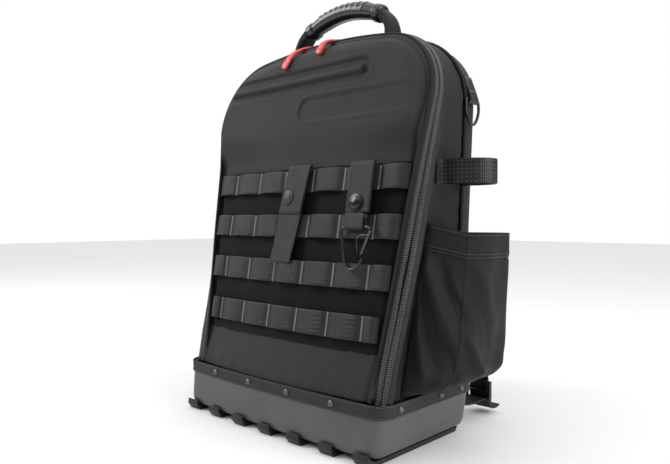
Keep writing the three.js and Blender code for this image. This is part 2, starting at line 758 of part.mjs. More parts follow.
function addHook() {
  const at = (x, down) => planePoint(x, down, HOOK_OFF, HOOK_SAG_X);
  const frame = [
    at(116.5, 66.6), at(113, HOOK_TOP_DOWN), at(104, HOOK_TOP_DOWN), at(95, HOOK_TOP_DOWN),
    at(86, HOOK_TOP_DOWN), at(80.5, HOOK_TOP_DOWN + 0.6), at(78, 70), at(80.5, 80),
    at(84.5, 96), at(88.5, 104), at(94.5, 108), at(101, 107), at(106.5, 102), at(109.5, 96.8),
  ];
  piece('hook_frame', openBar(frame, HOOK_BAR_R, 44), blackMetal);
  const strip = (points, width, depth) => band(points.map(([x, down], i) => {
    const [x2, down2] = points[Math.min(i + 1, points.length - 1)];
    const [x1, down1] = points[Math.max(i - 1, 0)];
    const along = vec(x2 - x1, 0, 0).addScaledVector(DOWN, down2 - down1).normalize();
    return { at: at(x, down), across: OUT, out: along.cross(OUT), width: depth, thickness: width };
  }));
  const rail = strip([[GATE_PIVOT.x + 0.6, 68.4], [112.8, 77], [107.5, 92.6]], 2.6, 3);
  const arm = strip([[114, 73], [104, 73.6], [101.2, 76], [102.6, 90.5]], 1.2, 2.4);
  const gate = toManifold(rail).add(toManifold(arm));
  piece('hook_gate', fromManifold(gate), blackMetal);
}

// Carry handle on top, behind the zip
const HANDLE_Y = 50;
const GRIP_TOP_Z = 479;
const GRIP_HALF_LENGTH = 58;
const GRIP_DROP = 14;
const GRIP_R = 10;

/** Middle line of the grip, a shallow arch. */
function gripZ(x) {
  return GRIP_TOP_Z - GRIP_DROP * (x / GRIP_HALF_LENGTH) ** 2;
}

function addHandle() {
  const stations = [
    { x: -58, r: 0.86 }, { x: -56, r: 1.02 }, { x: -50, r: 1.05 }, { x: -48, r: 0.9 },
    { x: -32, r: 1 }, { x: -16, r: 1 }, { x: 0, r: 1 }, { x: 16, r: 1 }, { x: 32, r: 1 },
    { x: 48, r: 0.9 }, { x: 50, r: 1.05 }, { x: 56, r: 1.02 }, { x: 58, r: 0.86 },
  ];
  const rings = stations.map(({ x, r }) => {
    const lean = Math.atan(-2 * GRIP_DROP * x / GRIP_HALF_LENGTH ** 2);
    const ring = [];
    for (let j = 0; j < 10; j += 1) {
      const angle = (2 * Math.PI * j) / 10;
      const out = r * GRIP_R * Math.sin(angle);
      ring.push(vec(
        x - Math.sin(lean) * out,
        HANDLE_Y + r * GRIP_R * 1.15 * Math.cos(angle),
        gripZ(x) + Math.cos(lean) * out,
      ));
    }
    return ring;
  });
  piece('handle_grip', sweepRings(rings), rubber);
  for (const [name, hand] of [['handle_end_left', -1], ['handle_end_right', 1]]) {
    const route = [
      { x: 58.6, z: gripZ(58.6) - 0.4, turn: -24, width: 20, thickness: 13 },
      { x: 66, z: 457.5, turn: -46, width: 22, thickness: 11 },
      { x: 71, z: 448, turn: -70, width: 26, thickness: 8 },
      { x: 72.5, z: 438, turn: -84, width: 30, thickness: 6 },
      { x: 73, z: 432.5, turn: -90, width: 34, thickness: 6 },
    ];
    const end = band(route.map(({ x, z, turn, width, thickness }) => ({
      at: vec(hand * x, HANDLE_Y, z),
      across: vec(0, 1, 0),
      out: vec(hand * Math.sin(degrees(-turn)), 0, Math.cos(degrees(turn))),
      width,
      thickness,
    })));
    piece(name, end, bodyFabric);
  }
}

/** Zip sliders near the top centre, each with a soft pull that hangs down the shell's face. */
function addSliders() {
  for (const { side, x, reach, fall } of [
    { side: 'left', x: -25, reach: -19, fall: 21 },
    { side: 'right', x: 20, reach: -8, fall: 13 },
  ]) {
    const top = TOP_Z - CROWN * x * x;
    const middleY = zipY(top);
    const slider = merged(new THREE.BoxGeometry(14, 10, 3.4));
    const mesh = piece(`slider_${side}`, slider, blackMetal);
    mesh.position.set(x, middleY, top - ZIP_RECESS + 2.6 + 3 * GAP + 1.7);
    const start = vec(x - 2, middleY - 7.6, top + 1.6);
    const edge = vec(x - 5, middleY - 15, top + 0.6);
    const endX = x - 5 + reach;
    const endZ = top - 4 - fall;
    const low = vec(endX, shellFaceY(endX, endZ) - 3.6, endZ);
    const bend = edge.clone().lerp(low, 0.45).add(vec(0, -4.4, 4));
    const route = [start, edge, bend, low];
    const widths = [4.5, 6, 8.5, 10.5];
    const stations = route.map((at, i) => {
      const along = route[Math.min(i + 1, 3)].clone().sub(route[Math.max(i - 1, 0)]).normalize();
      const across = vec(1, 0, 0).addScaledVector(along, -along.x).normalize();
      return { at, across, out: across.clone().cross(along).normalize(), width: widths[i], thickness: 2.8 };
    });
    piece(`pull_${side}`, band(stations), redPull);
  }
}

// Side pocket on the right, standing open
const POCKET_WALL = 1.8;
const POCKET_LEVELS = [
  { z: 60, reach: 0.08 },
  { z: 64, reach: 0.42 },
  { z: 74, reach: 0.74 },
  { z: 95, reach: 0.97 },
  { z: 130, reach: 1.04 },
  { z: 175, reach: 1.02 },
  { z: 217, reach: 1 },
];

/** One level of the pocket's wall: from its front seam, out round its corner, to its back seam. */
function pocketRing({ z, reach }, inset) {
  const frontSeam = zipY(z) + ZIP_HALF_WIDTH + 7;
  const backSeam = 60;
  const corner = lerp(-15, 9, (z - 103) / 114);
  const plan = [
    { out: 0, y: frontSeam + inset },
    { out: 0.1, y: frontSeam + 1 + inset * 0.7 },
    { out: 0.4, y: lerp(frontSeam, corner, 0.5) + inset * 0.7 },
    { out: 0.68, y: corner + inset * 0.7 },
    { out: 0.92, y: corner + 16 },
    { out: 1, y: 44 },
    { out: 1.02, y: 60 },
    { out: 0.86, y: 70 - inset * 0.7 },
    { out: 0.45, y: 68 - inset },
    { out: 0, y: backSeam - inset },
  ];
  const span = 58;
  return plan.map(({ out, y }) => {
    const base = sideX(Math.min(y, BACK_SEAM_Y), z) + 0.6;
    const reachOut = out * reach * span;
    return vec(base + Math.max(out > 0 ? 0.4 : 0, reachOut - (out > 0.3 ? inset : 0)), y, z);
  });
}

function addPocket() {
  const outer = POCKET_LEVELS.map((level) => pocketRing(level, 0));
  const inner = POCKET_LEVELS.map((level, i) => {
    const raised = { z: level.z + (i < 3 ? POCKET_WALL : 0), reach: level.reach };
    return pocketRing(raised, POCKET_WALL);
  });
  piece('side_pocket', wallBetween(outer, inner), bodyFabric);
}

/** Elastic strap above the pocket, standing out from the side in a loop. */
function addElasticStrap() {
  const middleZ = 278;
  const thickness = 1.8;
  const edge = (y) => sideX(y, middleZ) + 0.5 + thickness / 2;
  const route = [
    vec(edge(6), 6, middleZ),
    vec(edge(13) + 1, 13, middleZ),
    vec(180, 16.5, middleZ),
    vec(197, 22, middleZ),
    vec(205, 33, middleZ),
    vec(205, 45, middleZ),
    vec(196, 55, middleZ),
    vec(178, 58, middleZ),
    vec(edge(52) + 4, 57, middleZ),
    vec(edge(62), 63, middleZ),
  ];
  const stations = route.map((at, i) => {
    const along = route[Math.min(i + 1, route.length - 1)].clone().sub(route[Math.max(i - 1, 0)]);
    const out = vec(along.y, -along.x, 0).normalize();
    return { at, across: vec(0, 0, 1), out, width: 25, thickness };
  });
  piece('elastic_strap', band(stations), webbing);
}

// D-ring tabs on both upper sides, on the edge of the back section
const TAB = { middleY: 79.5, width: 21, thickness: 1.2, barZ: 358, barOff: 3.5, barR: 1.6 };

/** A point over the back section's edge at a height, with the direction out of it. */
function backEdge(hand, z, off) {
  const { radius, centreX, centreZ } = topCorner(1.5, 1 - BACK_SQUEEZE);
  const rise = (TAB.middleY - BACK_SEAM_Y) / (BACK_Y - BACK_SEAM_Y);
  const tuck = BACK_EDGE_R * (1 - Math.sqrt(1 - rise * rise));
  const angle = Math.asin(THREE.MathUtils.clamp((z - centreZ) / radius, 0, 1));
  const out = vec(hand * Math.cos(angle), 0, Math.sin(angle));
  const flat = halfWidth(Math.min(z, centreZ)) * (1 - BACK_SQUEEZE) - 1.5;
  const reach = radius - tuck + off;
  const x = z > centreZ ? centreX + reach * Math.cos(angle) : flat - tuck + off;
  return { at: vec(hand * x, TAB.middleY, z > centreZ ? centreZ + reach * Math.sin(angle) : z), out };
}

/** Webbing tabs folded round the top bars of the D-rings. */
function addRingTabs() {
  for (const [side, hand] of [['left', -1], ['right', 1]]) {
    const lean = vec(-0.14 * hand, 0.99, 0);
    const layer = (z, off, turn) => {
      const { at, out } = backEdge(hand, z, off);
      return { at, across: lean, out: out.multiplyScalar(turn), width: TAB.width, thickness: TAB.thickness };
    };
    const bend = TAB.barR + GAP + TAB.thickness / 2 + 0.2;
    const fold = [0, 45, 90, 135, 180].map(degrees).map((angle) => {
      const station = layer(TAB.barZ, TAB.barOff - bend * Math.cos(angle), 1);
      station.at.z -= bend * Math.sin(angle);
      station.out = vec(hand * Math.cos(angle), 0, Math.sin(angle));
      return station;
    });
    const stations = [
      layer(412, 1.4, 1), layer(402, 1.3, 1), layer(390, 1.3, 1), layer(376, 1.2, 1),
      layer(364, TAB.barOff - bend, 1), ...fold,
      layer(364, TAB.barOff + 1.6, -1), layer(374, 3.4, -1), layer(384, 3, -1),
    ];
    piece(`ring_tab_${side}`, band(stations), webbing);
    const bar = backEdge(hand, TAB.barZ, TAB.barOff).at;
    const ring = [
      [-15, 0], [-9, 0], [-3, 0], [3, 0], [9, 0], [15, 0],
      [17, -7], [11, -20], [0, -26], [-11, -20], [-17, -7],
    ].map(([across, up]) => vec(bar.x - hand * 0.14 * across, bar.y + across, bar.z + up));
    piece(`d_ring_${side}`, closedBar(ring, vec(0.99, 0.14 * hand, 0), TAB.barR), blackMetal);
  }
}

// Ladder locks at the foot of the shoulder straps, behind the tray
const LOCK = { x: 129, y: 141.7, z: 29 };

/** Rear wall of the tray at a height. */
function trayBackY(z) {
  return lerp(TRAY_LOW.backY, TRAY_HIGH.backY, (z - TRAY.bottomZ) / (TRAY.topZ - TRAY.bottomZ));
}

/** Padded shoulder straps down the back; their webbing runs through ladder locks tied to the tray. */
function addShoulderStraps() {
  for (const [side, hand] of [['left', -1], ['right', 1]]) {
    const pad = [
      { x: 38, y: 114, z: 403, width: 62, thickness: 6, lean: -20 },
      { x: 40, y: 122, z: 399, width: 64, thickness: 11, lean: 0 },
      { x: 44, y: 139, z: 372, width: 66, thickness: 12, lean: 62 },
      { x: 52, y: 147, z: 330, width: 66, thickness: 12, lean: 82 },
      { x: 64, y: 149, z: 280, width: 64, thickness: 12, lean: 90 },
      { x: 76, y: 147, z: 230, width: 60, thickness: 12, lean: 96 },
      { x: 86, y: 141, z: 185, width: 52, thickness: 11, lean: 102 },
      { x: 92, y: 135, z: 158, width: 42, thickness: 8, lean: 106 },
      { x: 93, y: 133.5, z: 150, width: 30, thickness: 4, lean: 106 },
    ];
    const direction = (lean) => vec(0, Math.sin(degrees(lean)), Math.cos(degrees(lean)));
    piece(`shoulder_strap_${side}`, band(pad.map(({ x, y, z, width, thickness, lean }) => ({
      at: vec(hand * x, y, z), across: vec(1, 0, 0), out: direction(lean), width, thickness,
    }))), bodyFabric);
    const tail = [
      { x: 93, y: 133, z: 149.4, width: 25, lean: 108 },
      { x: 106, y: 138.5, z: 112, width: 25, lean: 98 },
      { x: 121, y: 143.4, z: 72, width: 25, lean: 94 },
      { x: 128, y: LOCK.y + 3.7, z: 44, width: 25, lean: 90 },
      { x: 129, y: LOCK.y + 3.7, z: 18, width: 25, lean: 90 },
      { x: 129.5, y: LOCK.y + 5.4, z: 11.5, width: 25, lean: 58 },
      { x: 130, y: LOCK.y + 10, z: 7.8, width: 25, lean: 24 },
      { x: 131, y: LOCK.y + 17, z: 6.8, width: 25, lean: 0 },
      { x: 132, y: LOCK.y + 24, z: 9, width: 25, lean: -20 },
    ];
    piece(`strap_webbing_${side}`, band(tail.map(({ x, y, z, width, lean }) => ({
      at: vec(hand * x, y, z), across: vec(1, 0, 0), out: direction(lean), width, thickness: 1.8,
    }))), webbing);
    const lock = merged(new THREE.BoxGeometry(34, 5, 24));
    const mesh = piece(`ladder_lock_${side}`, lock, blackPlastic);
    mesh.position.set(hand * LOCK.x, LOCK.y, LOCK.z);
    const anchor = [
      { x: 122, y: trayBackY(41) + 1.4, z: 41, lean: 90 },
      { x: 122, y: trayBackY(31) + 1.4, z: 31, lean: 84 },
      { x: 122.4, y: 93.5, z: 24.5, lean: 45 },
      { x: 123.5, y: 102, z: 20.5, lean: 14 },
      { x: 126, y: 120, z: 18.6, lean: 0 },
      { x: 128.5, y: LOCK.y - 2.8, z: 20.4, lean: -6 },
    ];
    piece(`lower_tab_${side}`, band(anchor.map(({ x, y, z, lean }) => ({
      at: vec(hand * x, y, z), across: vec(1, 0, 0), out: direction(lean), width: 25, thickness: 2,
    }))), webbing);
  }
}

addTray();
addFeet();
addTape();
addRivets();
addFrontShell();
addBody();
addBackPanel();
addZip();
addWebbingRows();
addHangingStraps();
addHookLoop();
addHook();
addHandle();
addSliders();
addPocket();
addElasticStrap();
addRingTabs();
addShoulderStraps();

export default bag;
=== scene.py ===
# %% [markdown]
# # Dressing a tool backpack
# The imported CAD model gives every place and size, so nothing here is fitted by eye.
# Each step builds one real piece of the bag in millimetres, in the same frame as the
# CAD solid, and hides that solid. Then it gets a finish made of shader nodes.

# %% Frame and units
import math
import bpy
import bmesh
import numpy as np
from mathutils import Matrix, Vector
from mathutils.bvhtree import BVHTree


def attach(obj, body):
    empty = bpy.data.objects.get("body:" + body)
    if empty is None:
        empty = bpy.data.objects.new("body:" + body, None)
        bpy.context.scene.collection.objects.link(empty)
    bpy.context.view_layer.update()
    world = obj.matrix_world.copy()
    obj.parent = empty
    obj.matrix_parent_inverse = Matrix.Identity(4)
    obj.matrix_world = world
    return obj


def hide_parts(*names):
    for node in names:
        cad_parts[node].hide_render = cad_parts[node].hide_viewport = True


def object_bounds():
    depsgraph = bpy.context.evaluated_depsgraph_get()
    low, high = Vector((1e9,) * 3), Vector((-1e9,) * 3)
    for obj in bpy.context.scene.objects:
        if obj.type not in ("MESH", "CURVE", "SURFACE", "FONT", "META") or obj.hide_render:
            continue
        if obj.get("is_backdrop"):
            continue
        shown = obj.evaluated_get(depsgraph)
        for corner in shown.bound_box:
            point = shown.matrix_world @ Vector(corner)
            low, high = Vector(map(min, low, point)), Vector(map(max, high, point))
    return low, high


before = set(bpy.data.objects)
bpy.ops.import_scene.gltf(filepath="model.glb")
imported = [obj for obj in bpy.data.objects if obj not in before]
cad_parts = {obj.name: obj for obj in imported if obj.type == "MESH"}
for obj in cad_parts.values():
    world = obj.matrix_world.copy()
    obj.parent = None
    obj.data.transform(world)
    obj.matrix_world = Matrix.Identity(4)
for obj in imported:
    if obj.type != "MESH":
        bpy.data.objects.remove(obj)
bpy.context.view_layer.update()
MM = 0.001

# %% [markdown]
# ## Camera
# The photograph was taken from the front right corner, almost level with the bag.
# The lens and place were worked out from the webbing, whose pitch is known.

# %% Camera
camera_data = bpy.data.cameras.new("photo_camera")
camera_data.lens = 34.08
camera_data.sensor_width = 36
camera = bpy.data.objects.new("photo_camera", camera_data)
camera.location = (0.51646, -0.52156, 0.22995)
camera.rotation_euler = (math.radians(90 - 1.09), 0, math.radians(43.06))
bpy.context.scene.collection.objects.link(camera)
bpy.context.scene.camera = camera
print("camera at", tuple(camera.location))

# %% [markdown]
# ## The shape of the bag
# The bag is an arch seen from the front. Its face leans back as it rises and its zip
# lies in a plane that leans back even more. These few rules place every soft piece,
# so they are written once, as functions that take whole arrays of points.

# %% Measures of the bag
TOP_Z = 436
TOP_CORNER_R = 75
CROWN = 0.00078
SLOPE = math.radians(10.5)
ROW_TOP_Z = 285
ROW_HEIGHT = 25.4
ROW_PITCH = 50.8
ROW_THICKNESS = 1.5
LOOP_PITCH = 44.8
UPPER_FACE_Y = -27
FIELD_FACE_Y = -23
FIELD_CURVE = 0.0004
BACK_SEAM_Y = 66
BACK_SQUEEZE = 0.045
FOOT_Z = 56.3
ZIP_HALF_WIDTH = 6.5
LEFT_FULLNESS = 8


def lerp(a, b, share):
    return a + (b - a) * share


def smooth(x, low, high):
    t = np.clip((np.asarray(x, float) - low) / (high - low), 0, 1)
    return t * t * (3 - 2 * t)


def hump(x, middle, width):
    return np.exp(-(((np.asarray(x, float) - middle) / width) ** 2))


def half_width(z):
    return lerp(150, 164, (np.asarray(z, float) - 49) / 320)


def zip_y(z):
    return 16 + 0.219 * (np.asarray(z, float) - 369)


def top_corner(inset, squeeze):
    radius = TOP_CORNER_R - inset
    top = TOP_Z - inset
    centre_z, centre_x, lean = top - radius, 0.0, 0.0
    for _ in range(4):
        centre_x = half_width(centre_z) * squeeze - inset - radius
        end_x = centre_x + radius * math.sin(lean)
        lean = math.atan(2 * CROWN * end_x)
        centre_z = top - CROWN * end_x * end_x - radius * math.cos(lean)
    return radius, top, float(centre_x), float(centre_z), lean


def inside_outline(x, z, squeeze=1.0):
    """How far a point of the front view lies inside the arch."""
    radius, top, centre_x, centre_z, _ = top_corner(0, squeeze)
    across = np.abs(x)
    side = half_width(z) * squeeze - across
    corner = radius - np.hypot(across - centre_x, z - centre_z)
    crown = top - CROWN * np.square(x) - z
    return np.where(z <= centre_z, side, np.where(across > centre_x, corner, crown))


SEAT_Z = [57, 90, 190, 249, 297, 345, 436]
SEAT_FRONT_INSET = [14, 13.8, 11, 9, 6.8, 2.2, 1.5]
SEAT_FRONT_Y = [-8.0, -8.1, -8.8, -10.6, -11.7, -14.6, -13.0]
SEAT_REAR_Y = [-5.0, -4.9, 1.2, 0.5, 0.8, -0.7, -0.7]


def seat_value(z, table):
    return np.interp(z, SEAT_Z, table)


def rounded_edge(distance, radius):
    left = 1 - np.clip(distance / radius, 0, 1)
    return np.sqrt(1 - left * left)


def shell_y(x, z, inset=0.0):
    """Front face of the moulded shell, rounded back to the zip along its edges."""
    x, z = np.asarray(x, float), np.asarray(z, float)
    upper = smooth(z, 296, 334)
    field = FIELD_FACE_Y + FIELD_CURVE * x * x - 0.17 * np.maximum(0, 98 - z)
    face = math.tan(SLOPE) * (z - ROW_TOP_Z) + lerp(field, UPPER_FACE_Y, upper)
    rim = zip_y(np.minimum(z, TOP_Z)) - ZIP_HALF_WIDTH
    rise = rounded_edge(inside_outline(x, z) - inset, lerp(8, 21, upper))
    return rim - (rim - face - inset) * rise


def side_x(y, z):
    """Half width of the bag at a depth and height, on its flat side."""
    front = zip_y(z) + ZIP_HALF_WIDTH
    share = np.clip((y - front) / (BACK_SEAM_Y - front), 0, 1)
    return half_width(z) * (1 - BACK_SQUEEZE * share)


def arch_top(inset, squeeze, corner_steps, crown_steps):
    """The arch's corners and crown, from right to left: x, z and the way out of it."""
    radius, _, centre_x, centre_z, lean = top_corner(inset, squeeze)
    angle = np.linspace(0, math.pi / 2 - lean, corner_steps)
    corner = np.stack([centre_x + radius * np.cos(angle), centre_z + radius * np.sin(angle),
                       np.cos(angle), np.sin(angle)], 1)
    end_x = corner[-1, 0]
    x = end_x * (1 - np.arange(1, crown_steps + 1) / crown_steps)
    crown = np.stack([x, TOP_Z - inset - CROWN * x * x, np.sin(np.arctan(2 * CROWN * x)),
                      np.cos(np.arctan(2 * CROWN * x))], 1)
    right = np.concatenate([corner, crown])
    left = right[-2::-1] * [-1, 1, -1, 1]
    return np.concatenate([right, left])


def arch_whole(inset, squeeze, side_steps, corner_steps, crown_steps):
    """The same with both straight sides, from the right foot to the left foot."""
    top = arch_top(inset, squeeze, corner_steps, crown_steps)
    z = np.linspace(FOOT_Z, top[0, 1], side_steps, endpoint=False)
    side = np.stack([half_width(z) * squeeze - inset, z, np.ones_like(z), np.zeros_like(z)], 1)
    return np.concatenate([side, top, side[::-1] * [-1, 1, -1, 1]])


def fill_left_side(points):
    """The soft body is fuller on its left side, as it is in the CAD."""
    share = smooth(-points[..., 0], 40, 160) * smooth(points[..., 2], 58, 230)
    moved = points.copy()
    moved[..., 0] -= LEFT_FULLNESS * share
    return moved


print("half width at the foot and top corner:", half_width(FOOT_Z), half_width(369))

# %% [markdown]
# ## Helpers that turn points into pieces
# Nearly every soft piece is a grid of points. A panel is a grid with a second, inner
# grid behind it; a strap or tube is a ring of points carried along a path. The UV map
# holds real lengths in metres, so one weave has the same thread size on every piece.

# %% Grids into meshes
pieces = {}


def add_mesh(name, points, faces, corner_uv=None):
    """A new object from points in millimetres, with its UV map in metres."""
    points = fill_left_side(np.asarray(points, float).reshape(-1, 3)) * MM
    mesh = bpy.data.meshes.new(name)
    mesh.from_pydata(points.tolist(), [], [list(map(int, face)) for face in faces])
    if corner_uv is not None:
        layer = mesh.uv_layers.new(name="UVMap")
        layer.data.foreach_set("uv", (np.asarray(corner_uv, float) * MM).astype(np.float32).ravel())
    mesh.validate()
    made = bpy.data.objects.new(name, mesh)
    bpy.context.scene.collection.objects.link(made)
    mesh.shade_smooth()
    face_outwards(made)
    pieces[name] = made
    return made


def face_outwards(made):
    work = bmesh.new()
    work.from_mesh(made.data)
    bmesh.ops.recalc_face_normals(work, faces=work.faces)
    work.to_mesh(made.data)
    work.free()


def grid_lengths(points):
    """Real lengths along both ways of a grid, for its UV map."""
    down = np.linalg.norm(np.diff(points, axis=0), axis=2)
    across = np.linalg.norm(np.diff(points, axis=1), axis=2)
    v = np.concatenate([np.zeros((1, points.shape[1])), np.cumsum(down, 0)])
    u = np.concatenate([np.zeros((points.shape[0], 1)), np.cumsum(across, 1)], 1)
    return u - u[:, -1:] / 2, v


def quads(rows, columns, wrap=False):
    last = columns if wrap else columns - 1
    i, j = np.meshgrid(np.arange(rows - 1), np.arange(last), indexing="ij")
    k = (j + 1) % columns
    faces = np.stack([i * columns + j, i * columns + k, (i + 1) * columns + k,
                      (i + 1) * columns + j], -1)
    return faces.reshape(-1, 4), i, j


def panel(name, outer, inner, step=4):
    """A closed panel: a fine outer grid, and a coarser inner one that takes each step-th point."""
    rows, columns = outer.shape[:2]
    u, v = grid_lengths(outer)
    faces, i, j = quads(rows, columns)
    uvs = [np.stack([u[i + a, j + b], v[i + a, j + b]], -1).reshape(-1, 2)
           for a, b in ((0, 0), (0, 1), (1, 1), (1, 0))]
    corner_uv = [np.stack(uvs, 1).reshape(-1, 2)]
    inner = inner[::step, ::step]
    inner_rows, inner_columns = inner.shape[:2]
    base = rows * columns
    inner_faces, a, b = quads(inner_rows, inner_columns)
    inner_faces = inner_faces[:, ::-1] + base
    all_faces = faces.tolist() + inner_faces.tolist()
    iu, iv = u[::step, ::step], v[::step, ::step]
    inner_uv = np.stack([np.stack([iu[a + p, b + q], iv[a + p, b + q]], -1).reshape(-1, 2)
                         for p, q in ((1, 0), (1, 1), (0, 1), (0, 0))], 1)
    corner_uv.append(inner_uv.reshape(-1, 2))
    flat_u, flat_v = u.ravel(), v.ravel()
    rim_uv = []
    borders = [
        (np.arange(columns), base + np.arange(inner_columns), 1),
        ((rows - 1) * columns + np.arange(columns),
         base + (inner_rows - 1) * inner_columns + np.arange(inner_columns), 0),
        (np.arange(rows) * columns, base + np.arange(inner_rows) * inner_columns, 0),
        (np.arange(rows) * columns + columns - 1,
         base + np.arange(inner_rows) * inner_columns + inner_columns - 1, 1),
    ]
    for fine, coarse, turned in borders:
        for n in range(len(coarse) - 1):
            edge = list(fine[n * step:(n + 1) * step + 1])
            face = edge + [coarse[n + 1], coarse[n]]
            spots = edge + [edge[-1], edge[0]]
            if turned:
                face, spots = face[::-1], spots[::-1]
            all_faces.append(face)
            rim_uv += [(flat_u[s], flat_v[s]) for s in spots]
    corner_uv.append(np.array(rim_uv))
    points = np.concatenate([outer.reshape(-1, 3), inner.reshape(-1, 3)])
    return add_mesh(name, points, all_faces, np.concatenate(corner_uv))


print("grid helpers ready")

# %% Rings along a path


def spline(stations, count):
    """A smooth run through stations whose first three numbers are a place."""
    stations = np.asarray(stations, float)
    steps = np.linalg.norm(np.diff(stations[:, :3], axis=0), axis=1)
    at = np.concatenate([[0], np.cumsum(np.maximum(steps, 1e-6))])
    slopes = np.gradient(stations, at, axis=0, edge_order=1)
    t = np.linspace(0, at[-1], count)
    n = np.clip(np.searchsorted(at, t, side="right") - 1, 0, len(at) - 2)
    span = (at[n + 1] - at[n])[:, None]
    s = ((t - at[n])[:, None]) / span
    return ((2 * s**3 - 3 * s**2 + 1) * stations[n] + (s**3 - 2 * s**2 + s) * span * slopes[n]
            + (-2 * s**3 + 3 * s**2) * stations[n + 1] + (s**3 - s**2) * span * slopes[n + 1])


def unit(v):
    v = np.asarray(v, float)
    return v / np.maximum(np.linalg.norm(v, axis=-1, keepdims=True), 1e-9)


def flat_section(width, thickness, across_steps=6, edge_steps=3):
    """A flat band's section: flat faces and round edges."""
    r = thickness / 2
    reach = max(width / 2 - r, 0.01)
    line = np.linspace(-reach, reach, across_steps)
    arc = np.linspace(-math.pi / 2, math.pi / 2, edge_steps + 2)[1:-1]
    low = [(x, -r) for x in line]
    right = [(reach + r * math.cos(a), r * math.sin(a)) for a in arc]
    high = [(x, r) for x in line[::-1]]
    left = [(-reach - r * math.cos(a), -r * math.sin(a)) for a in arc]
    return np.array(low + right + high + left)


def pad_section(width, thickness, power=3.2, count=36):
    """A stuffed strap's section: a rounded box, crowned on both faces."""
    a = np.linspace(0, 2 * math.pi, count, endpoint=False) + math.pi / count
    c, s = np.cos(a), np.sin(a)
    return np.stack([np.sign(c) * np.abs(c) ** (2 / power) * width / 2,
                     np.sign(s) * np.abs(s) ** (2 / 2.3) * thickness / 2], 1)


def sweep(name, centres, across, out, sections, closed=False):
    """A piece from rings: each section lies in its station's across and out directions."""
    centres, across, out = (np.asarray(a, float) for a in (centres, across, out))
    sections = np.asarray(sections, float)
    rings = (centres[:, None] + sections[..., :1] * across[:, None]
             + sections[..., 1:] * out[:, None])
    if closed:
        rings = np.concatenate([rings, rings[:1]])
    rows, columns = rings.shape[:2]
    lengths = np.concatenate([[0], np.cumsum(np.linalg.norm(np.diff(centres, axis=0), axis=1))])
    if closed:
        lengths = np.append(lengths, lengths[-1] + np.linalg.norm(centres[0] - centres[-1]))
    loop = np.concatenate([sections, sections[:, :1]], 1)
    u = np.concatenate([np.zeros((len(loop), 1)),
                        np.cumsum(np.linalg.norm(np.diff(loop, axis=1), axis=2), 1)], 1)
    if closed:
        u = np.concatenate([u, u[:1]])
    faces, i, j = quads(rows, columns, wrap=True)
    uvs = [np.stack([u[i + a, j + b], lengths[i + a]], -1).reshape(-1, 2)
           for a, b in ((0, 0), (0, 1), (1, 1), (1, 0))]
    corner_uv = np.stack(uvs, 1).reshape(-1, 2)
    points = rings.reshape(-1, 3)
    faces = faces.tolist()
    if closed:
        count = (rows - 1) * columns
        faces = [[v % count for v in face] for face in faces]
        points = points[:count]
    else:
        caps = [list(range(columns))[::-1], [(rows - 1) * columns + n for n in range(columns)]]
        faces += caps
        ends = [[(u[0, n], 0) for n in range(columns)][::-1],
                [(u[-1, n], lengths[-1]) for n in range(columns)]]
        corner_uv = np.concatenate([corner_uv, np.array(ends).reshape(-1, 2)])
    return add_mesh(name, points, faces, corner_uv)


def frames_along(path, out_hint, closed=False):
    """Across and out directions at each point of a path, with out kept near a hint."""
    path = np.asarray(path, float)
    if closed:
        along = unit(np.roll(path, -1, 0) - np.roll(path, 1, 0))
    else:
        along = unit(np.gradient(path, axis=0))
    hint = np.broadcast_to(np.asarray(out_hint, float), path.shape)
    across = unit(np.cross(along, hint))
    return across, unit(np.cross(across, along))


def tube(name, path, radius, count, sides=12, closed=False, hint=(0, 0, 1)):
    """A round bar along a path; radius is one number or one for each point given."""
    path = np.asarray(path, float)
    radii = np.broadcast_to(np.asarray(radius, float), (len(path),))
    run = np.column_stack([path, radii])
    if closed:
        run = spline(np.concatenate([run[-3:], run, run[:4]]),
                     (count // len(path) + 1) * (len(path) + 6))
        start = np.argmin(np.linalg.norm(run[:, :3] - path[0], axis=1))
        after = start + len(run) // 4
        end = after + np.argmin(np.linalg.norm(run[after:, :3] - path[0], axis=1))
        run = run[start:end]
    else:
        run = spline(run, count)
    across, out = frames_along(run[:, :3], hint, closed)
    angle = np.linspace(0, 2 * math.pi, sides, endpoint=False)
    ring = np.stack([np.cos(angle), np.sin(angle)], 1)
    return sweep(name, run[:, :3], across, out, run[:, 3, None, None] * ring, closed)


def lathe(name, profile, at, axis, steps=40):
    """A turned piece: profile of radius and height, stood at a place along an axis."""
    axis = unit(axis)
    side = unit(np.cross(axis, [0.3, 0.5, 0.9]))
    other = np.cross(axis, side)
    angle = np.linspace(0, 2 * math.pi, steps, endpoint=False)
    ring = np.cos(angle)[:, None] * side + np.sin(angle)[:, None] * other
    profile = np.asarray(profile, float)
    rings = np.asarray(at) + profile[:, :1, None] * ring[None] + profile[:, 1:, None] * axis
    faces, i, j = quads(len(profile), steps, wrap=True)
    faces = faces.tolist() + [list(range(steps))[::-1],
                              [(len(profile) - 1) * steps + n for n in range(steps)]]
    return add_mesh(name, rings.reshape(-1, 3), faces)


def rounded_block(name, sizes, at, turn, bevel, segments=3):
    """A moulded block with rounded edges, turned about X and placed."""
    work = bmesh.new()
    bmesh.ops.create_cube(work, size=1)
    bmesh.ops.scale(work, vec=Vector(sizes), verts=work.verts)
    bmesh.ops.bevel(work, geom=work.edges[:], offset=bevel, segments=segments, profile=0.5,
                    affect="EDGES")
    mesh = bpy.data.meshes.new(name)
    work.to_mesh(mesh)
    work.free()
    made = bpy.data.objects.new(name, mesh)
    bpy.context.scene.collection.objects.link(made)
    mesh.transform(Matrix.Rotation(turn, 4, "X"))
    mesh.transform(Matrix.Translation(Vector(at)))
    mesh.transform(Matrix.Scale(MM, 4))
    mesh.shade_smooth()
    pieces[name] = made
    return made


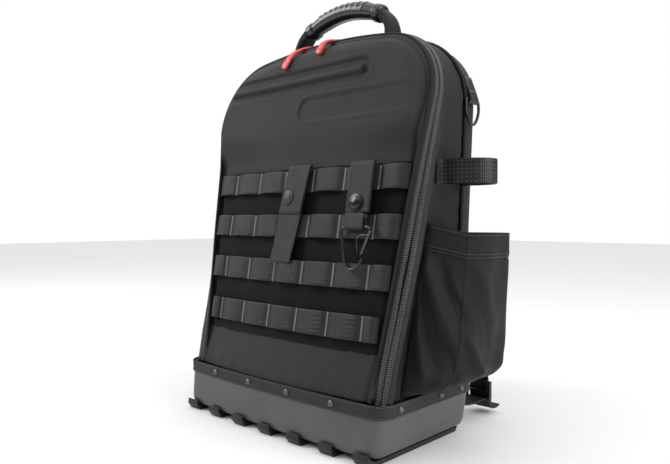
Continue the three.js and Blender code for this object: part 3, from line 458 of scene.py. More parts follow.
def join(name, parts):
    """Several meshes as one piece, each keeping its own materials."""
    with bpy.context.temp_override(active_object=parts[0], selected_editable_objects=parts):
        bpy.ops.object.join()
    for part in list(pieces):
        try:
            pieces[part].name
        except ReferenceError:
            del pieces[part]
    old = parts[0].name
    parts[0].name = name
    pieces.pop(old, None)
    pieces[name] = parts[0]
    return parts[0]


print("path helpers ready")

# %% [markdown]
# ## Finishes
# The bag has few materials, and each is seen up close: coarse woven nylon, ribbed
# webbing, satin moulded plastic, rubber, painted and plain metal. Each one is a node
# material. A weave is drawn from the UV map, because threads follow the cloth, while
# plastic and metal read the object's own coordinates.

# %% A short hand for wiring nodes


class Wiring:
    """Short calls that add nodes to one tree and join them."""

    def __init__(self, tree):
        self.tree = tree

    def node(self, kind, **settings):
        made = self.tree.nodes.new(kind)
        for key, value in settings.items():
            setattr(made, key, value)
        return made

    def plug(self, value, socket):
        if isinstance(value, bpy.types.NodeSocket):
            self.tree.links.new(value, socket)
        elif value is not None:
            socket.default_value = value

    def sum(self, operation, a, b=None, c=None):
        made = self.node("ShaderNodeMath", operation=operation)
        for value, socket in zip((a, b, c), made.inputs):
            self.plug(value, socket)
        return made.outputs[0]

    def fit(self, value, low, high, to_low, to_high):
        made = self.node("ShaderNodeMapRange")
        for n, number in enumerate((value, low, high, to_low, to_high)):
            self.plug(number, made.inputs[n])
        return made.outputs[0]

    def noise(self, vector, scale, detail=2.0, roughness=0.5):
        made = self.node("ShaderNodeTexNoise")
        self.plug(vector, made.inputs["Vector"])
        self.plug(scale, made.inputs["Scale"])
        self.plug(detail, made.inputs["Detail"])
        self.plug(roughness, made.inputs["Roughness"])
        return made.outputs["Fac"]

    def tint(self, share, dark, light):
        made = self.node("ShaderNodeMix", data_type="RGBA")
        self.plug(share, made.inputs[0])
        made.inputs[6].default_value = (*dark, 1)
        made.inputs[7].default_value = (*light, 1)
        return made.outputs[2]

    def bump(self, height, distance, strength=1.0):
        made = self.node("ShaderNodeBump")
        made.inputs["Strength"].default_value = strength
        made.inputs["Distance"].default_value = distance
        self.plug(height, made.inputs["Height"])
        return made.outputs["Normal"]


def start_finish(name, roughness=0.5, metallic=0.0, sheen=0.0, coat=0.0, specular=0.5):
    """A new material: its wiring, its shader and where its coordinates come from."""
    made = bpy.data.materials.new(name)
    made.use_nodes = True
    wiring = Wiring(made.node_tree)
    shader = made.node_tree.nodes["Principled BSDF"]
    shader.inputs["Roughness"].default_value = roughness
    shader.inputs["Metallic"].default_value = metallic
    shader.inputs["Sheen Weight"].default_value = sheen
    shader.inputs["Sheen Roughness"].default_value = 0.45
    shader.inputs["Coat Weight"].default_value = coat
    shader.inputs["Coat Roughness"].default_value = 0.2
    shader.inputs["Specular IOR Level"].default_value = specular
    places = wiring.node("ShaderNodeTexCoord")
    return made, wiring, shader, places


print("node wiring ready")

# %% [markdown]
# ### Woven nylon
# In a plain weave a thread goes over one and under the next. Each little square of the
# cloth therefore shows either a warp or a weft thread, rounded across its width. The
# group below draws that as a height, from two ridged waves swapped by a checkerboard.

# %% Plain weave
weave = bpy.data.node_groups.new("plain_weave", "ShaderNodeTree")
weave.interface.new_socket("Vector", in_out="INPUT", socket_type="NodeSocketVector")
weave.interface.new_socket("Pitch", in_out="INPUT", socket_type="NodeSocketFloat")
weave.interface.new_socket("Height", in_out="OUTPUT", socket_type="NodeSocketFloat")
w = Wiring(weave)
entry, leave = w.node("NodeGroupInput"), w.node("NodeGroupOutput")
split = w.node("ShaderNodeSeparateXYZ")
w.plug(entry.outputs["Vector"], split.inputs[0])
across = w.sum("DIVIDE", split.outputs[0], entry.outputs["Pitch"])
down = w.sum("DIVIDE", split.outputs[1], entry.outputs["Pitch"])
warp = w.sum("ABSOLUTE", w.sum("SINE", w.sum("MULTIPLY", across, math.pi)))
weft = w.sum("ABSOLUTE", w.sum("SINE", w.sum("MULTIPLY", down, math.pi)))
square = w.sum("MODULO", w.sum("ADD", w.sum("FLOOR", across), w.sum("FLOOR", down)), 2.0)
square = w.sum("ABSOLUTE", square)
along_warp = w.sum("MULTIPLY", w.sum("MULTIPLY", warp, w.sum("POWER", weft, 0.4)), square)
along_weft = w.sum("MULTIPLY", w.sum("MULTIPLY", weft, w.sum("POWER", warp, 0.4)),
                   w.sum("SUBTRACT", 1.0, square))
w.plug(w.sum("ADD", along_warp, along_weft), leave.inputs["Height"])
print("weave nodes:", len(weave.nodes))

# %% Cloth finishes


def woven_nylon(name, dark, light, pitch, roughness=0.7, sheen=0.03, depth=0.00025, patch=0.35,
                specular=0.22):
    """Coated nylon: dark threads with painted highlight on their crowns and painted shade between
    them, uneven dye and a little dust.
    """
    made, w, shader, places = start_finish(name, roughness, sheen=sheen, specular=specular)
    threads = w.node("ShaderNodeGroup", node_tree=weave)
    w.plug(places.outputs["UV"], threads.inputs["Vector"])
    threads.inputs["Pitch"].default_value = pitch
    height = threads.outputs["Height"]
    cloudy = w.noise(places.outputs["Object"], 14.0, 3.0)
    fine = w.noise(places.outputs["UV"], 900.0, 2.0)
    # The thread height also lightens the colour: painted highlight on each thread's crown and
    # painted shade between threads; the cloudy and fine noise add uneven dye and dust.
    lit = w.sum("ADD", w.sum("MULTIPLY", height, 0.65),
                w.sum("MULTIPLY", w.sum("SUBTRACT", cloudy, 0.5), patch))
    lit = w.sum("ADD", lit, w.sum("MULTIPLY", w.sum("SUBTRACT", fine, 0.5), 0.5))
    w.plug(w.tint(lit, dark, light), shader.inputs["Base Color"])
    w.plug(w.fit(cloudy, 0.3, 0.7, roughness - 0.06, roughness + 0.08), shader.inputs["Roughness"])
    w.plug(w.bump(w.sum("ADD", height, w.sum("MULTIPLY", fine, 0.5)), depth),
           shader.inputs["Normal"])
    return made


def ribbed_webbing(name, dark, light, rib=0.0011, roughness=0.42, sheen=0.02, slant=0.55,
                   specular=0.4):
    """Narrow woven strap: fine ribs across it, broken by a slanting twill, with painted highlight
    on the ribs and painted shade between them.
    """
    made, w, shader, places = start_finish(name, roughness, sheen=sheen, specular=specular)
    split = w.node("ShaderNodeSeparateXYZ")
    w.plug(places.outputs["UV"], split.inputs[0])
    across, along = split.outputs[0], split.outputs[1]
    cells = w.sum("DIVIDE", across, rib)
    ribs = w.sum("SINE", w.sum("MULTIPLY", cells, 2 * math.pi))
    zigzag = w.sum("MULTIPLY", w.sum("PINGPONG", cells, 2.0), slant)
    twill = w.sum("SINE", w.sum("MULTIPLY", w.sum("ADD", w.sum("DIVIDE", along, rib * 0.9), zigzag),
                                2 * math.pi))
    height = w.sum("ADD", w.sum("MULTIPLY", ribs, 0.25), w.sum("MULTIPLY", twill, 0.25))
    height = w.sum("ADD", height, 0.5)
    worn = w.noise(places.outputs["Object"], 45.0, 3.0)
    # The rib and twill height also sets the colour: painted highlight on the rib crowns and painted
    # shade between them, mixed with random wear.
    share = w.sum("ADD", w.sum("MULTIPLY", height, 0.75),
                  w.sum("MULTIPLY", w.sum("SUBTRACT", worn, 0.5), 0.6))
    w.plug(w.tint(share, dark, light), shader.inputs["Base Color"])
    w.plug(w.fit(worn, 0.3, 0.7, roughness - 0.07, roughness + 0.1), shader.inputs["Roughness"])
    w.plug(w.bump(height, 0.00022), shader.inputs["Normal"])
    return made


def air_mesh(name, dark, light, cell=0.0034):
    """Spacer mesh: rows of small round holes, every second row shifted by half a cell, with painted
    shade in each hole.
    """
    made, w, shader, places = start_finish(name, 0.85, sheen=0.05, specular=0.2)
    split = w.node("ShaderNodeSeparateXYZ")
    w.plug(places.outputs["UV"], split.inputs[0])
    row = w.sum("DIVIDE", split.outputs[1], cell * 0.866)
    shift = w.sum("MULTIPLY", w.sum("MODULO", w.sum("ABSOLUTE", w.sum("FLOOR", row)), 2.0), 0.5)
    column = w.sum("ADD", w.sum("DIVIDE", split.outputs[0], cell), shift)
    x = w.sum("SUBTRACT", w.sum("FRACT", column), 0.5)
    y = w.sum("MULTIPLY", w.sum("SUBTRACT", w.sum("FRACT", row), 0.5), 0.866)
    distance = w.sum("SQRT", w.sum("ADD", w.sum("MULTIPLY", x, x), w.sum("MULTIPLY", y, y)))
    cord = w.fit(distance, 0.2, 0.38, 0.0, 1.0)
    # Each hole is coloured dark as painted shade inside it; the cord round it is lighter.
    w.plug(w.tint(cord, dark, light), shader.inputs["Base Color"])
    w.plug(w.bump(cord, 0.0006), shader.inputs["Normal"])
    return made


shell_cloth = woven_nylon("shell_cloth", (0.006, 0.006, 0.0065), (0.028, 0.028, 0.029), 0.0014, 0.5,
                          specular=0.3)
# A darker, less glossy copy of the shell cloth: painted shade for the webbing field behind the
# rows.
field_painted_shade_cloth = woven_nylon("field_painted_shade_cloth", (0.001, 0.001, 0.0012), (0.006, 0.006, 0.0065), 0.0014,
                          0.6, specular=0.12)
body_cloth = woven_nylon("body_cloth", (0.004, 0.004, 0.0045), (0.02, 0.02, 0.021), 0.0014, 0.6)
smooth_cloth = woven_nylon("smooth_cloth", (0.005, 0.005, 0.0055), (0.016, 0.016, 0.017), 0.0009,
                           0.5)
strap_webbing = ribbed_webbing("strap_webbing", (0.002, 0.002, 0.0025), (0.014, 0.014, 0.015))
row_webbing = ribbed_webbing("row_webbing", (0.003, 0.003, 0.0035), (0.018, 0.018, 0.019),
                             roughness=0.36)
tape_webbing = ribbed_webbing("tape_webbing", (0.002, 0.002, 0.0025), (0.03, 0.03, 0.032),
                              rib=0.0019, roughness=0.6, slant=0.8)
elastic_webbing = ribbed_webbing("elastic_webbing", (0.002, 0.002, 0.0025), (0.014, 0.014, 0.015),
                                 rib=0.0023, slant=0.0)
mesh_cloth = air_mesh("mesh_cloth", (0.002, 0.002, 0.002), (0.026, 0.026, 0.028))
print("cloth finishes:", [m.name for m in bpy.data.materials])

# %% [markdown]
# ### Plastic, rubber, metal and thread
# Moulded plastic is almost even in colour; what gives it away is a faint orange-peel
# bump and a gloss that changes a little from place to place. Rubber is duller and
# rougher. Painted metal has a clear, sharp highlight, worn brighter in small spots.

# %% Hard finishes


def moulded(name, colour, roughness, grain=900.0, depth=0.00006, coat=0.0, vary=0.05, specular=0.5):
    made, w, shader, places = start_finish(name, roughness, coat=coat, specular=specular)
    peel = w.noise(places.outputs["Object"], grain, 2.0)
    cloudy = w.noise(places.outputs["Object"], 18.0, 3.0)
    lighter = tuple(min(1.0, c * 1.25) for c in colour)
    darker = tuple(c * 0.82 for c in colour)
    w.plug(w.tint(w.fit(cloudy, 0.3, 0.7, 0.0, 1.0), darker, lighter), shader.inputs["Base Color"])
    w.plug(w.fit(cloudy, 0.3, 0.7, roughness - vary, roughness + vary), shader.inputs["Roughness"])
    w.plug(w.bump(peel, depth), shader.inputs["Normal"])
    return made


def metal(name, colour, roughness, metallic=1.0, coat=0.0):
    made, w, shader, places = start_finish(name, roughness, metallic, coat=coat)
    scratches = w.noise(places.outputs["Object"], 260.0, 4.0, 0.7)
    worn = w.fit(scratches, 0.62, 0.72, 0.0, 0.5)
    w.plug(w.tint(worn, colour, tuple(min(1.0, 2.2 * c + 0.02) for c in colour)),
           shader.inputs["Base Color"])
    w.plug(w.fit(scratches, 0.2, 0.8, roughness - 0.06, roughness + 0.12),
           shader.inputs["Roughness"])
    w.plug(w.bump(scratches, 0.00003), shader.inputs["Normal"])
    return made


def thread(name, colour):
    made, w, shader, places = start_finish(name, 0.6, sheen=0.2)
    twist = w.noise(places.outputs["Object"], 1500.0, 1.0)
    w.plug(w.tint(twist, tuple(c * 0.7 for c in colour), colour), shader.inputs["Base Color"])
    w.plug(w.bump(twist, 0.0001), shader.inputs["Normal"])
    return made


tray_plastic = moulded("tray_plastic", (0.066, 0.067, 0.07), 0.42)
buckle_plastic = moulded("buckle_plastic", (0.008, 0.008, 0.009), 0.3, coat=0.2)
foot_rubber = moulded("foot_rubber", (0.005, 0.005, 0.0055), 0.5, depth=0.0001)
grip_rubber = moulded("grip_rubber", (0.008, 0.008, 0.0085), 0.3, depth=0.00008, coat=0.3)
pull_rubber = moulded("pull_rubber", (0.72, 0.045, 0.05), 0.42, coat=0.1)
rivet_metal = metal("rivet_metal", (0.13, 0.13, 0.135), 0.42)
stud_metal = metal("stud_metal", (0.06, 0.06, 0.062), 0.45, 0.7)
black_metal = metal("black_metal", (0.012, 0.012, 0.013), 0.2, 0.6, coat=0.5)
gun_metal = metal("gun_metal", (0.1, 0.1, 0.105), 0.25)
zip_teeth = moulded("zip_teeth", (0.075, 0.075, 0.078), 0.36)
zip_tape = ribbed_webbing("zip_tape", (0.005, 0.005, 0.006), (0.03, 0.03, 0.032), rib=0.0008,
                          roughness=0.6)
light_thread = thread("light_thread", (0.3, 0.3, 0.31))
dot_thread = thread("dot_thread", (0.13, 0.13, 0.135))
grey_thread = thread("grey_thread", (0.07, 0.07, 0.073))
print("finishes in all:", len(bpy.data.materials))


def dress(made, finish, body="bag", nodes=()):
    """One finish all over, a body to ride on and the CAD solids it stands for."""
    if finish is not None:
        made.data.materials.clear()
        made.data.materials.append(finish)
    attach(made, body)
    if nodes:
        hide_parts(*nodes)
    return made


# %% [markdown]
# ## Repeats with Geometry Nodes
# Stitches, zip teeth, bar tacks and rivets are one small shape many times over. A node
# tree spaces copies of that shape along drawn paths, turns each to the path and to the
# surface's way out, makes them real and gives them their finish. The result is then
# kept as a plain mesh, because instances are lost on export.

# %% The tree that repeats a shape


def repeat_tree(name, along_paths):
    tree = bpy.data.node_groups.new(name, "GeometryNodeTree")
    for label, kind in (("Geometry", "Geometry"), ("Item", "Object"), ("Pitch", "Float"),
                        ("Slant", "Float"), ("Finish", "Material")):
        tree.interface.new_socket(label, in_out="INPUT", socket_type="NodeSocket" + kind)
    tree.interface.new_socket("Geometry", in_out="OUTPUT", socket_type="NodeSocketGeometry")
    w = Wiring(tree)
    entry, leave = w.node("NodeGroupInput"), w.node("NodeGroupOutput")
    way_out = w.node("GeometryNodeInputNamedAttribute", data_type="FLOAT_VECTOR")
    way_out.inputs["Name"].default_value = "out"
    if along_paths:
        curve = w.node("GeometryNodeMeshToCurve")
        w.plug(entry.outputs["Geometry"], curve.inputs[0])
        spaced = w.node("GeometryNodeResampleCurve")
        spaced.mode = "LENGTH"
        w.plug(curve.outputs[0], spaced.inputs["Curve"])
        w.plug(entry.outputs["Pitch"], spaced.inputs["Length"])
        along = w.node("FunctionNodeAlignRotationToVector", axis="X")
        w.plug(w.node("GeometryNodeInputTangent").outputs[0], along.inputs["Vector"])
        facing = w.node("FunctionNodeAlignRotationToVector", axis="Z", pivot_axis="X")
        w.plug(along.outputs[0], facing.inputs["Rotation"])
        places = spaced.outputs[0]
    else:
        facing = w.node("FunctionNodeAlignRotationToVector", axis="Z")
        places = entry.outputs["Geometry"]
    w.plug(way_out.outputs["Attribute"], facing.inputs["Vector"])
    odd = w.sum("MODULO", w.node("GeometryNodeInputIndex").outputs[0], 2.0)
    angle = w.sum("MULTIPLY", w.sum("SUBTRACT", w.sum("MULTIPLY", odd, 2.0), 1.0),
                  entry.outputs["Slant"])
    tilt = w.node("FunctionNodeAxisAngleToRotation")
    tilt.inputs["Axis"].default_value = (0, 0, 1)
    w.plug(angle, tilt.inputs["Angle"])
    turned = w.node("FunctionNodeRotateRotation", rotation_space="LOCAL")
    w.plug(facing.outputs[0], turned.inputs["Rotation"])
    w.plug(tilt.outputs[0], turned.inputs["Rotate By"])
    item = w.node("GeometryNodeObjectInfo", transform_space="ORIGINAL")
    w.plug(entry.outputs["Item"], item.inputs["Object"])
    copies = w.node("GeometryNodeInstanceOnPoints")
    w.plug(places, copies.inputs["Points"])
    w.plug(item.outputs["Geometry"], copies.inputs["Instance"])
    w.plug(turned.outputs[0], copies.inputs["Rotation"])
    real = w.node("GeometryNodeRealizeInstances")
    w.plug(copies.outputs[0], real.inputs[0])
    finish = w.node("GeometryNodeSetMaterial")
    w.plug(real.outputs[0], finish.inputs["Geometry"])
    w.plug(entry.outputs["Finish"], finish.inputs["Material"])
    w.plug(finish.outputs[0], leave.inputs[0])
    return tree


path_tree = repeat_tree("repeat_along_paths", True)
point_tree = repeat_tree("repeat_on_points", False)


def repeat(name, paths, item, pitch, finish, slant=0.0, on_points=False):
    """Copies of item along paths, each a pair of points in mm and their ways out."""
    points, outs, edges, base = [], [], [], 0
    for line, out in paths:
        line = np.asarray(line, float).reshape(-1, 3)
        points.append(fill_left_side(line) * MM)
        outs.append(np.broadcast_to(np.asarray(out, float), line.shape))
        if not on_points:
            edges += [(base + n, base + n + 1) for n in range(len(line) - 1)]
        base += len(line)
    points, outs = np.concatenate(points), unit(np.concatenate(outs))
    mesh = bpy.data.meshes.new(name)
    mesh.from_pydata(points.tolist(), edges, [])
    mesh.attributes.new("out", "FLOAT_VECTOR",
                        "POINT").data.foreach_set("vector", outs.astype(np.float32).ravel())
    made = bpy.data.objects.new(name, mesh)
    bpy.context.scene.collection.objects.link(made)
    tree = point_tree if on_points else path_tree
    change = made.modifiers.new("repeat", "NODES")
    change.node_group = tree
    sockets = {s.name: s.identifier for s in tree.interface.items_tree if s.in_out == "INPUT"}
    change[sockets["Item"]] = item
    change[sockets["Pitch"]] = pitch * MM
    change[sockets["Slant"]] = slant
    change[sockets["Finish"]] = finish
    graph = bpy.context.evaluated_depsgraph_get()
    plain = bpy.data.meshes.new_from_object(made.evaluated_get(graph))
    made.modifiers.remove(change)
    made.data = plain
    bpy.data.meshes.remove(mesh)
    pieces[name] = made
    print(name, "copies over", len(paths), "paths:", len(plain.polygons), "faces")
    return made


# %% Small shapes to repeat


def small_shape(name, rings):
    """A tiny closed shape from rings along X: place, half width, half height, rise."""
    sides = 6
    angle = np.linspace(0, 2 * math.pi, sides, endpoint=False) + math.pi / 6
    points = []
    for x, wide, high, rise in rings:
        points += [(x, wide * math.cos(a), rise + high * math.sin(a)) for a in angle]
    faces, _, _ = quads(len(rings), sides, wrap=True)
    faces = faces.tolist() + [list(range(sides))[::-1],
                              [(len(rings) - 1) * sides + n for n in range(sides)]]
    mesh = bpy.data.meshes.new(name)
    mesh.from_pydata((np.array(points) * MM).tolist(), [], faces)
    mesh.shade_smooth()
    shape = bpy.data.objects.new(name, mesh)
    face_outwards(shape)
    return shape


def stitch_shape(name, length, width, height):
    half = length / 2
    return small_shape(name, [(-half, width * 0.2, height * 0.2, 0),
                              (-half * 0.75, width / 2, height / 2, height * 0.3),
                              (half * 0.75, width / 2, height / 2, height * 0.3),
                              (half, width * 0.2, height * 0.2, 0)])


seam_stitch = stitch_shape("seam_stitch", 2.5, 0.6, 0.5)
tack_stitch = stitch_shape("tack_stitch", 0.75, 3.4, 0.7)
dot_stitch = stitch_shape("dot_stitch", 1.1, 0.7, 0.5)
box_stitch = stitch_shape("box_stitch", 1.9, 0.55, 0.5)
tooth = small_shape("tooth", [(-0.68, 2.5, 0.2, 0.0), (-0.4, 3.0, 0.6, 0.2), (0.4, 3.0, 0.6, 0.2),
                              (0.68, 2.5, 0.2, 0.0)])
print("faces in one stitch:", len(seam_stitch.data.polygons))


def shell_spot(x, z, off=0.0, relief=None):
    """Points that stand off the shell's face, with the way out of it at each."""
    x, z = np.broadcast_arrays(np.asarray(x, float), np.asarray(z, float))
    face = (lambda a, b: shell_y(a, b)) if relief is None else (lambda a, b: shell_y(a, b)
                                                                - relief(a, b))
    y = face(x, z)
    slope_x = (face(x + 0.5, z) - face(x - 0.5, z))
    slope_z = (face(x, z + 0.5) - face(x, z - 0.5))
    out = unit(np.stack([slope_x, -np.ones_like(x), slope_z], -1))
    return np.stack([x, y, z], -1) + out * off, out


# %% [markdown]
# ## Moulded front shell
# Foam is pressed between two cloths, so the front keeps its shape: a domed top with a
# groove and a round rib in it, a shallow bare recess under that, and a flatter field
# below for the webbing. A fine grid carries all of that as relief on the one face.

# %% Relief of the shell


def stadium(x, z, left_x, right_x, middle_z, height):
    """Distance from a long round-ended shape on the face, negative inside it."""
    r = height / 2
    return np.hypot(x - np.clip(x, left_x + r, right_x - r), z - middle_z) - r


def shell_relief(x, z):
    groove = stadium(x, z, -141, 86, 392, 25)
    rib = stadium(x, z, -139, 78, 392, 9.5)
    recess = stadium(x, z, -16, 150, 355, 28)
    fade = 1 - 0.65 * smooth(x, 60, 140)
    height = -2.6 * (1 - smooth(groove, -2.2, 0.9)) + 0.5 * hump(groove, 2.4, 1.8)
    height = height + 4.8 * rounded_edge(-rib, 4.6) * (rib < 0)
    height = height - 2.0 * fade * (1 - smooth(recess, -3.0,
                                               0.8)) + 0.5 * fade * hump(recess, 2.2, 2.0)
    height = height + 0.45 * np.sin(0.023 * x + 0.017 * z + 1) + 0.3 * np.sin(0.051 * x - 0.037 * z
                                                                              + 2)
    height = height + 0.35 * np.sin(2 * math.pi * x / 27) * hump(z, 60, 16)
    edge = inside_outline(x, z)
    front = seat_value(z, SEAT_FRONT_INSET)
    groove_at = front + lerp(7.0, 5.2, smooth(z, 300, 345))
    height = height * smooth(edge - groove_at, 0, 9) - 3.2 * hump(edge - groove_at, 0, 2.1)
    floor = zip_y(z) + lerp(seat_value(z, SEAT_REAR_Y), seat_value(z, SEAT_FRONT_Y),
                            np.clip(edge / front, 0, 1)) + 1.4
    return height - np.maximum(0, floor - shell_y(x, z)) * (edge < front)


def arch_panel(depth_at, inset, squeeze, shares, corner_steps, crown_steps):
    top = arch_top(inset, squeeze, corner_steps, crown_steps)[::-1]
    side_z = top[0, 1]
    side_half = half_width(side_z) * squeeze - inset
    share = shares[:, None]
    z = FOOT_Z + (top[:, 1] - FOOT_Z) * share
    spread = half_width(np.minimum(z, side_z)) * squeeze - inset
    x = np.where(share == 1, top[:, 0], top[:, 0] / side_half * spread)
    return np.stack([x, depth_at(x, z), z], -1)


def edge_crowded(rows, edge_rows, edge_share):
    """Even shares of a height, then closer and closer ones over its last stretch."""
    even = np.linspace(0, 1 - edge_share, rows - edge_rows, endpoint=False)
    turn = np.linspace(0, math.pi / 2, edge_rows)
    return np.concatenate([even, 1 - edge_share * (1 - np.sin(turn))])


shell_rows = edge_crowded(265, 49, 24 / 380)
shell_outer = arch_panel(lambda x, z: shell_y(x, z) - shell_relief(x, z), 0, 1, shell_rows, 36, 73)
shell_inner = arch_panel(lambda x, z: shell_y(x, z, 6), 6, 1, shell_rows, 36, 73)
shell = panel("front_shell_cloth", shell_outer, shell_inner)
dress(shell, shell_cloth, nodes=("front_shell", "front_rib"))
# Faces of the webbing field, between heights 99 and 288 mm, take the darker cloth as painted shade.
shell.data.materials.append(field_painted_shade_cloth)
centres = np.zeros(len(shell.data.polygons) * 3)
shell.data.polygons.foreach_get("center", centres)
face_z = centres.reshape(-1, 3)[:, 2] / MM
shell.data.polygons.foreach_set("material_index", ((face_z > 99) & (face_z < 288)).astype(np.int32))
print("shell grid", shell_outer.shape[:2])

# %% Stitches on the shell
line_x = np.linspace(-126, 80, 60)
shell_lines = [shell_spot(line_x, 409.5, 0.1, shell_relief)]
dress(repeat("shell_stitches", shell_lines, seam_stitch, 3.4, grey_thread), None)

# %% [markdown]
# ## Soft body
# The body behind the zip is a wide strip of nylon, sewn to the zip in front and to the
# padded back behind. It hangs a little slack, so it gets folds where it is held: along
# both seams, over the tray and round the pocket. A cord-filled piping hides each seam.

# %% Gusset


def gusset_relief(y, z, side, share):
    """Folds of the side walls: out is positive. side is 1 on the right, -1 on the left."""
    flat = 1 - smooth(z, 385, 425)
    seam = -0.9 * hump(y - zip_y(z) - seat_value(z, SEAT_REAR_Y), 4.2, 0.9)
    slant = 0.055 * z + 0.05 * y * side
    wave = np.sin(slant + 0.6 * np.sin(0.031 * z))
    folds = 1.1 * wave * smooth(share, 0.05, 0.3) * (1 - smooth(share, 0.75, 1))
    puckers = 0.4 * np.sin(2 * math.pi * z / 19 + side) * (hump(share, 0.24, 0.12)
                                                           + hump(share, 0.95, 0.1))
    belly = 3.2 * hump(z, 74, 20) * smooth(share, 0.15, 0.6)
    return seam + flat * (folds + puckers + belly)


def gusset_grid(inset, with_relief):
    rows = []
    for share in np.linspace(0, 1, 57):
        tuck = 0.5 * (1 - smooth(share, 0, 0.06)) + 1.5 * smooth(share, 0.85, 1)
        line = arch_whole(inset + tuck, 1 - BACK_SQUEEZE * share, 141, 30, 70)
        y = lerp(zip_y(line[:, 1]) + seat_value(line[:, 1], SEAT_REAR_Y) + 0.5, BACK_SEAM_Y, share)
        lift = gusset_relief(y, line[:, 1], np.sign(line[:, 0]), share) if with_relief else 0
        rows.append(np.stack([line[:, 0] + lift * line[:, 2], y, line[:, 1] + lift * line[:, 3]],
                             -1))
    return np.array(rows)


gusset = panel("gusset_cloth", gusset_grid(0, True), gusset_grid(3.5, False))
dress(gusset, body_cloth, nodes=("body_gusset",))


def arch_line(inset, squeeze, y_at, steps=(60, 16, 24)):
    line = arch_whole(inset, squeeze, *steps)
    points = np.stack([line[:, 0], y_at(line[:, 1]), line[:, 1]], -1)
    out = np.stack([line[:, 2], np.zeros(len(line)), line[:, 3]], -1)
    return points, out


rear_line, _ = arch_line(-0.6, 1 - BACK_SQUEEZE, lambda z: 66.4 + 0 * z)
rear_piping = tube("rear_piping", rear_line, 2.3, 420, 12, hint=(0, 1, 0))
dress(rear_piping, smooth_cloth)
seam_line = arch_line(-0.5, 0.996, lambda z: zip_y(z) + seat_value(z, SEAT_REAR_Y) + 6.5)
rear_seam_line = arch_line(-0.2, 1 - BACK_SQUEEZE * 0.86, lambda z: 58 + 0 * z)
dress(repeat("gusset_stitches", [seam_line, rear_seam_line], seam_stitch, 3.6, grey_thread), None)
print("gusset and piping done")

# %% [markdown]
# ### Padded back
# The back that lies on the wearer is foam under spacer mesh. Channels are sewn between
# the pads so that air can pass, so the grid is lowered along each channel.

# %% Back panel


def back_y(x, z, inset):
    rise = lerp(89, 112, smooth(z, 50, 150))
    channel = 5 * hump(np.abs(x), 0, 14) * smooth(z, 110, 160)
    face = rise - channel + 4 * hump(z, 150, 40) - inset
    rim = BACK_SEAM_Y + 0.3
    edge = rounded_edge(inside_outline(x, z, 1 - BACK_SQUEEZE) - inset, 24)
    return rim + (face - rim) * edge


def back_relief(x, z):
    edge = smooth(inside_outline(x, z, 1 - BACK_SQUEEZE), 8, 30)
    across = 3.2 * (hump(z, 214, 5) + hump(z, 300, 5)) * smooth(np.abs(x), 8,
                                                                16) * (1 - smooth(np.abs(x), 96,
                                                                                  106))
    frame_seam = 2.4 * hump(np.abs(x) - 0.06 * (z - 150), 108,
                            4) * smooth(z, 96, 110) * (1 - smooth(z, 366, 380))
    low_seam = 2.4 * hump(z, 100, 4) * (1 - smooth(np.abs(x), 100, 108))
    crown = 1.6 * np.abs(np.sin(math.pi * (z - 300) / 86)) * smooth(np.abs(x), 14,
                                                                    60) * (1 - smooth(np.abs(x), 70,
                                                                                      108))
    return edge * (crown - np.maximum(across, np.maximum(frame_seam, low_seam)))


back_shares = edge_crowded(173, 33, 27 / 380)
back_outer = arch_panel(lambda x, z: back_y(x, z, 1.5) + back_relief(x, z), 1.5, 1 - BACK_SQUEEZE,
                        back_shares, 30, 55)
back_inner = arch_panel(lambda x, z: back_y(x, z, 11), 11, 1 - BACK_SQUEEZE, back_shares, 30, 55)
back = panel("back_padding", back_outer, back_inner)
dress(back, mesh_cloth, nodes=("back_panel",))
print("back grid", back_outer.shape[:2])

# %% [markdown]
# ## Zip
# The zip is a folded tape with a row of coils on each half that lock in the middle. It
# lies over the rounded corner between shell and gusset, and turns more to the front
# towards its foot. The tape is a band along the arch; the coils are repeated teeth, two
# rows of them, each turned across the tape. A piping on the shell runs in front of it.

# %% Zip tape
zip_points, zip_out = arch_line(0, 1, zip_y, (150, 34, 60))
zip_z = zip_points[:, 2]
front_edge = np.stack([seat_value(zip_z, SEAT_FRONT_Y), -seat_value(zip_z, SEAT_FRONT_INSET)], 1)
rear_edge = np.stack([seat_value(zip_z, SEAT_REAR_Y), 0 * zip_z], 1)
chain_way = unit(rear_edge - front_edge)
chain_up = np.stack([-chain_way[:, 1], chain_way[:, 0]], 1)
chain_up *= np.sign(chain_up[:, 1:] + 1e-9)
chain_width = np.linalg.norm(rear_edge - front_edge, axis=1)[:, None]


def chain_point(share, rise):
    """A point over the zip's width: y from the zip's middle plane and height over the outline."""
    return front_edge + chain_way * chain_width * share + chain_up * rise


band_profile = [(-0.1, -1.8), (-0.1, 0.2), (0, 0.4), (0.05, 0.7), (0.45, 0.9), (0.5, 0.3),
                (0.55, 0.9), (0.95, 0.7), (1, 0.4), (1.25, 0.0), (1.25, -1.8), (0.6, -2.2)]
band_sections = np.stack([chain_point(share, rise) for share, rise in band_profile], 1)
zip_across = np.tile([0.0, 1, 0], (len(zip_z), 1))
zip_band = sweep("zip_band", zip_points, zip_across, zip_out, band_sections)
dress(zip_band, zip_tape, nodes=("zip",))
print("chain width, mm:", chain_width.min().round(1), "to", chain_width.max().round(1))

# %% Zip teeth and shell piping
up = zip_across * chain_up[:, :1] + zip_out * chain_up[:, 1:]


def zip_line(share, rise):
    place = chain_point(share, rise)
    return zip_points + zip_across * place[:, :1] + zip_out * place[:, 1:]


tooth_paths = [(zip_line(share, 1.0), up) for share in (0.255, 0.745)]
dress(repeat("zip_coils", tooth_paths, tooth, 2.15, zip_teeth), None)
piping_line = zip_line(-0.2, 0.6)
shell_piping = tube("shell_piping", piping_line, 1.7, 420, 12, hint=(0, 1, 0))
dress(shell_piping, smooth_cloth)

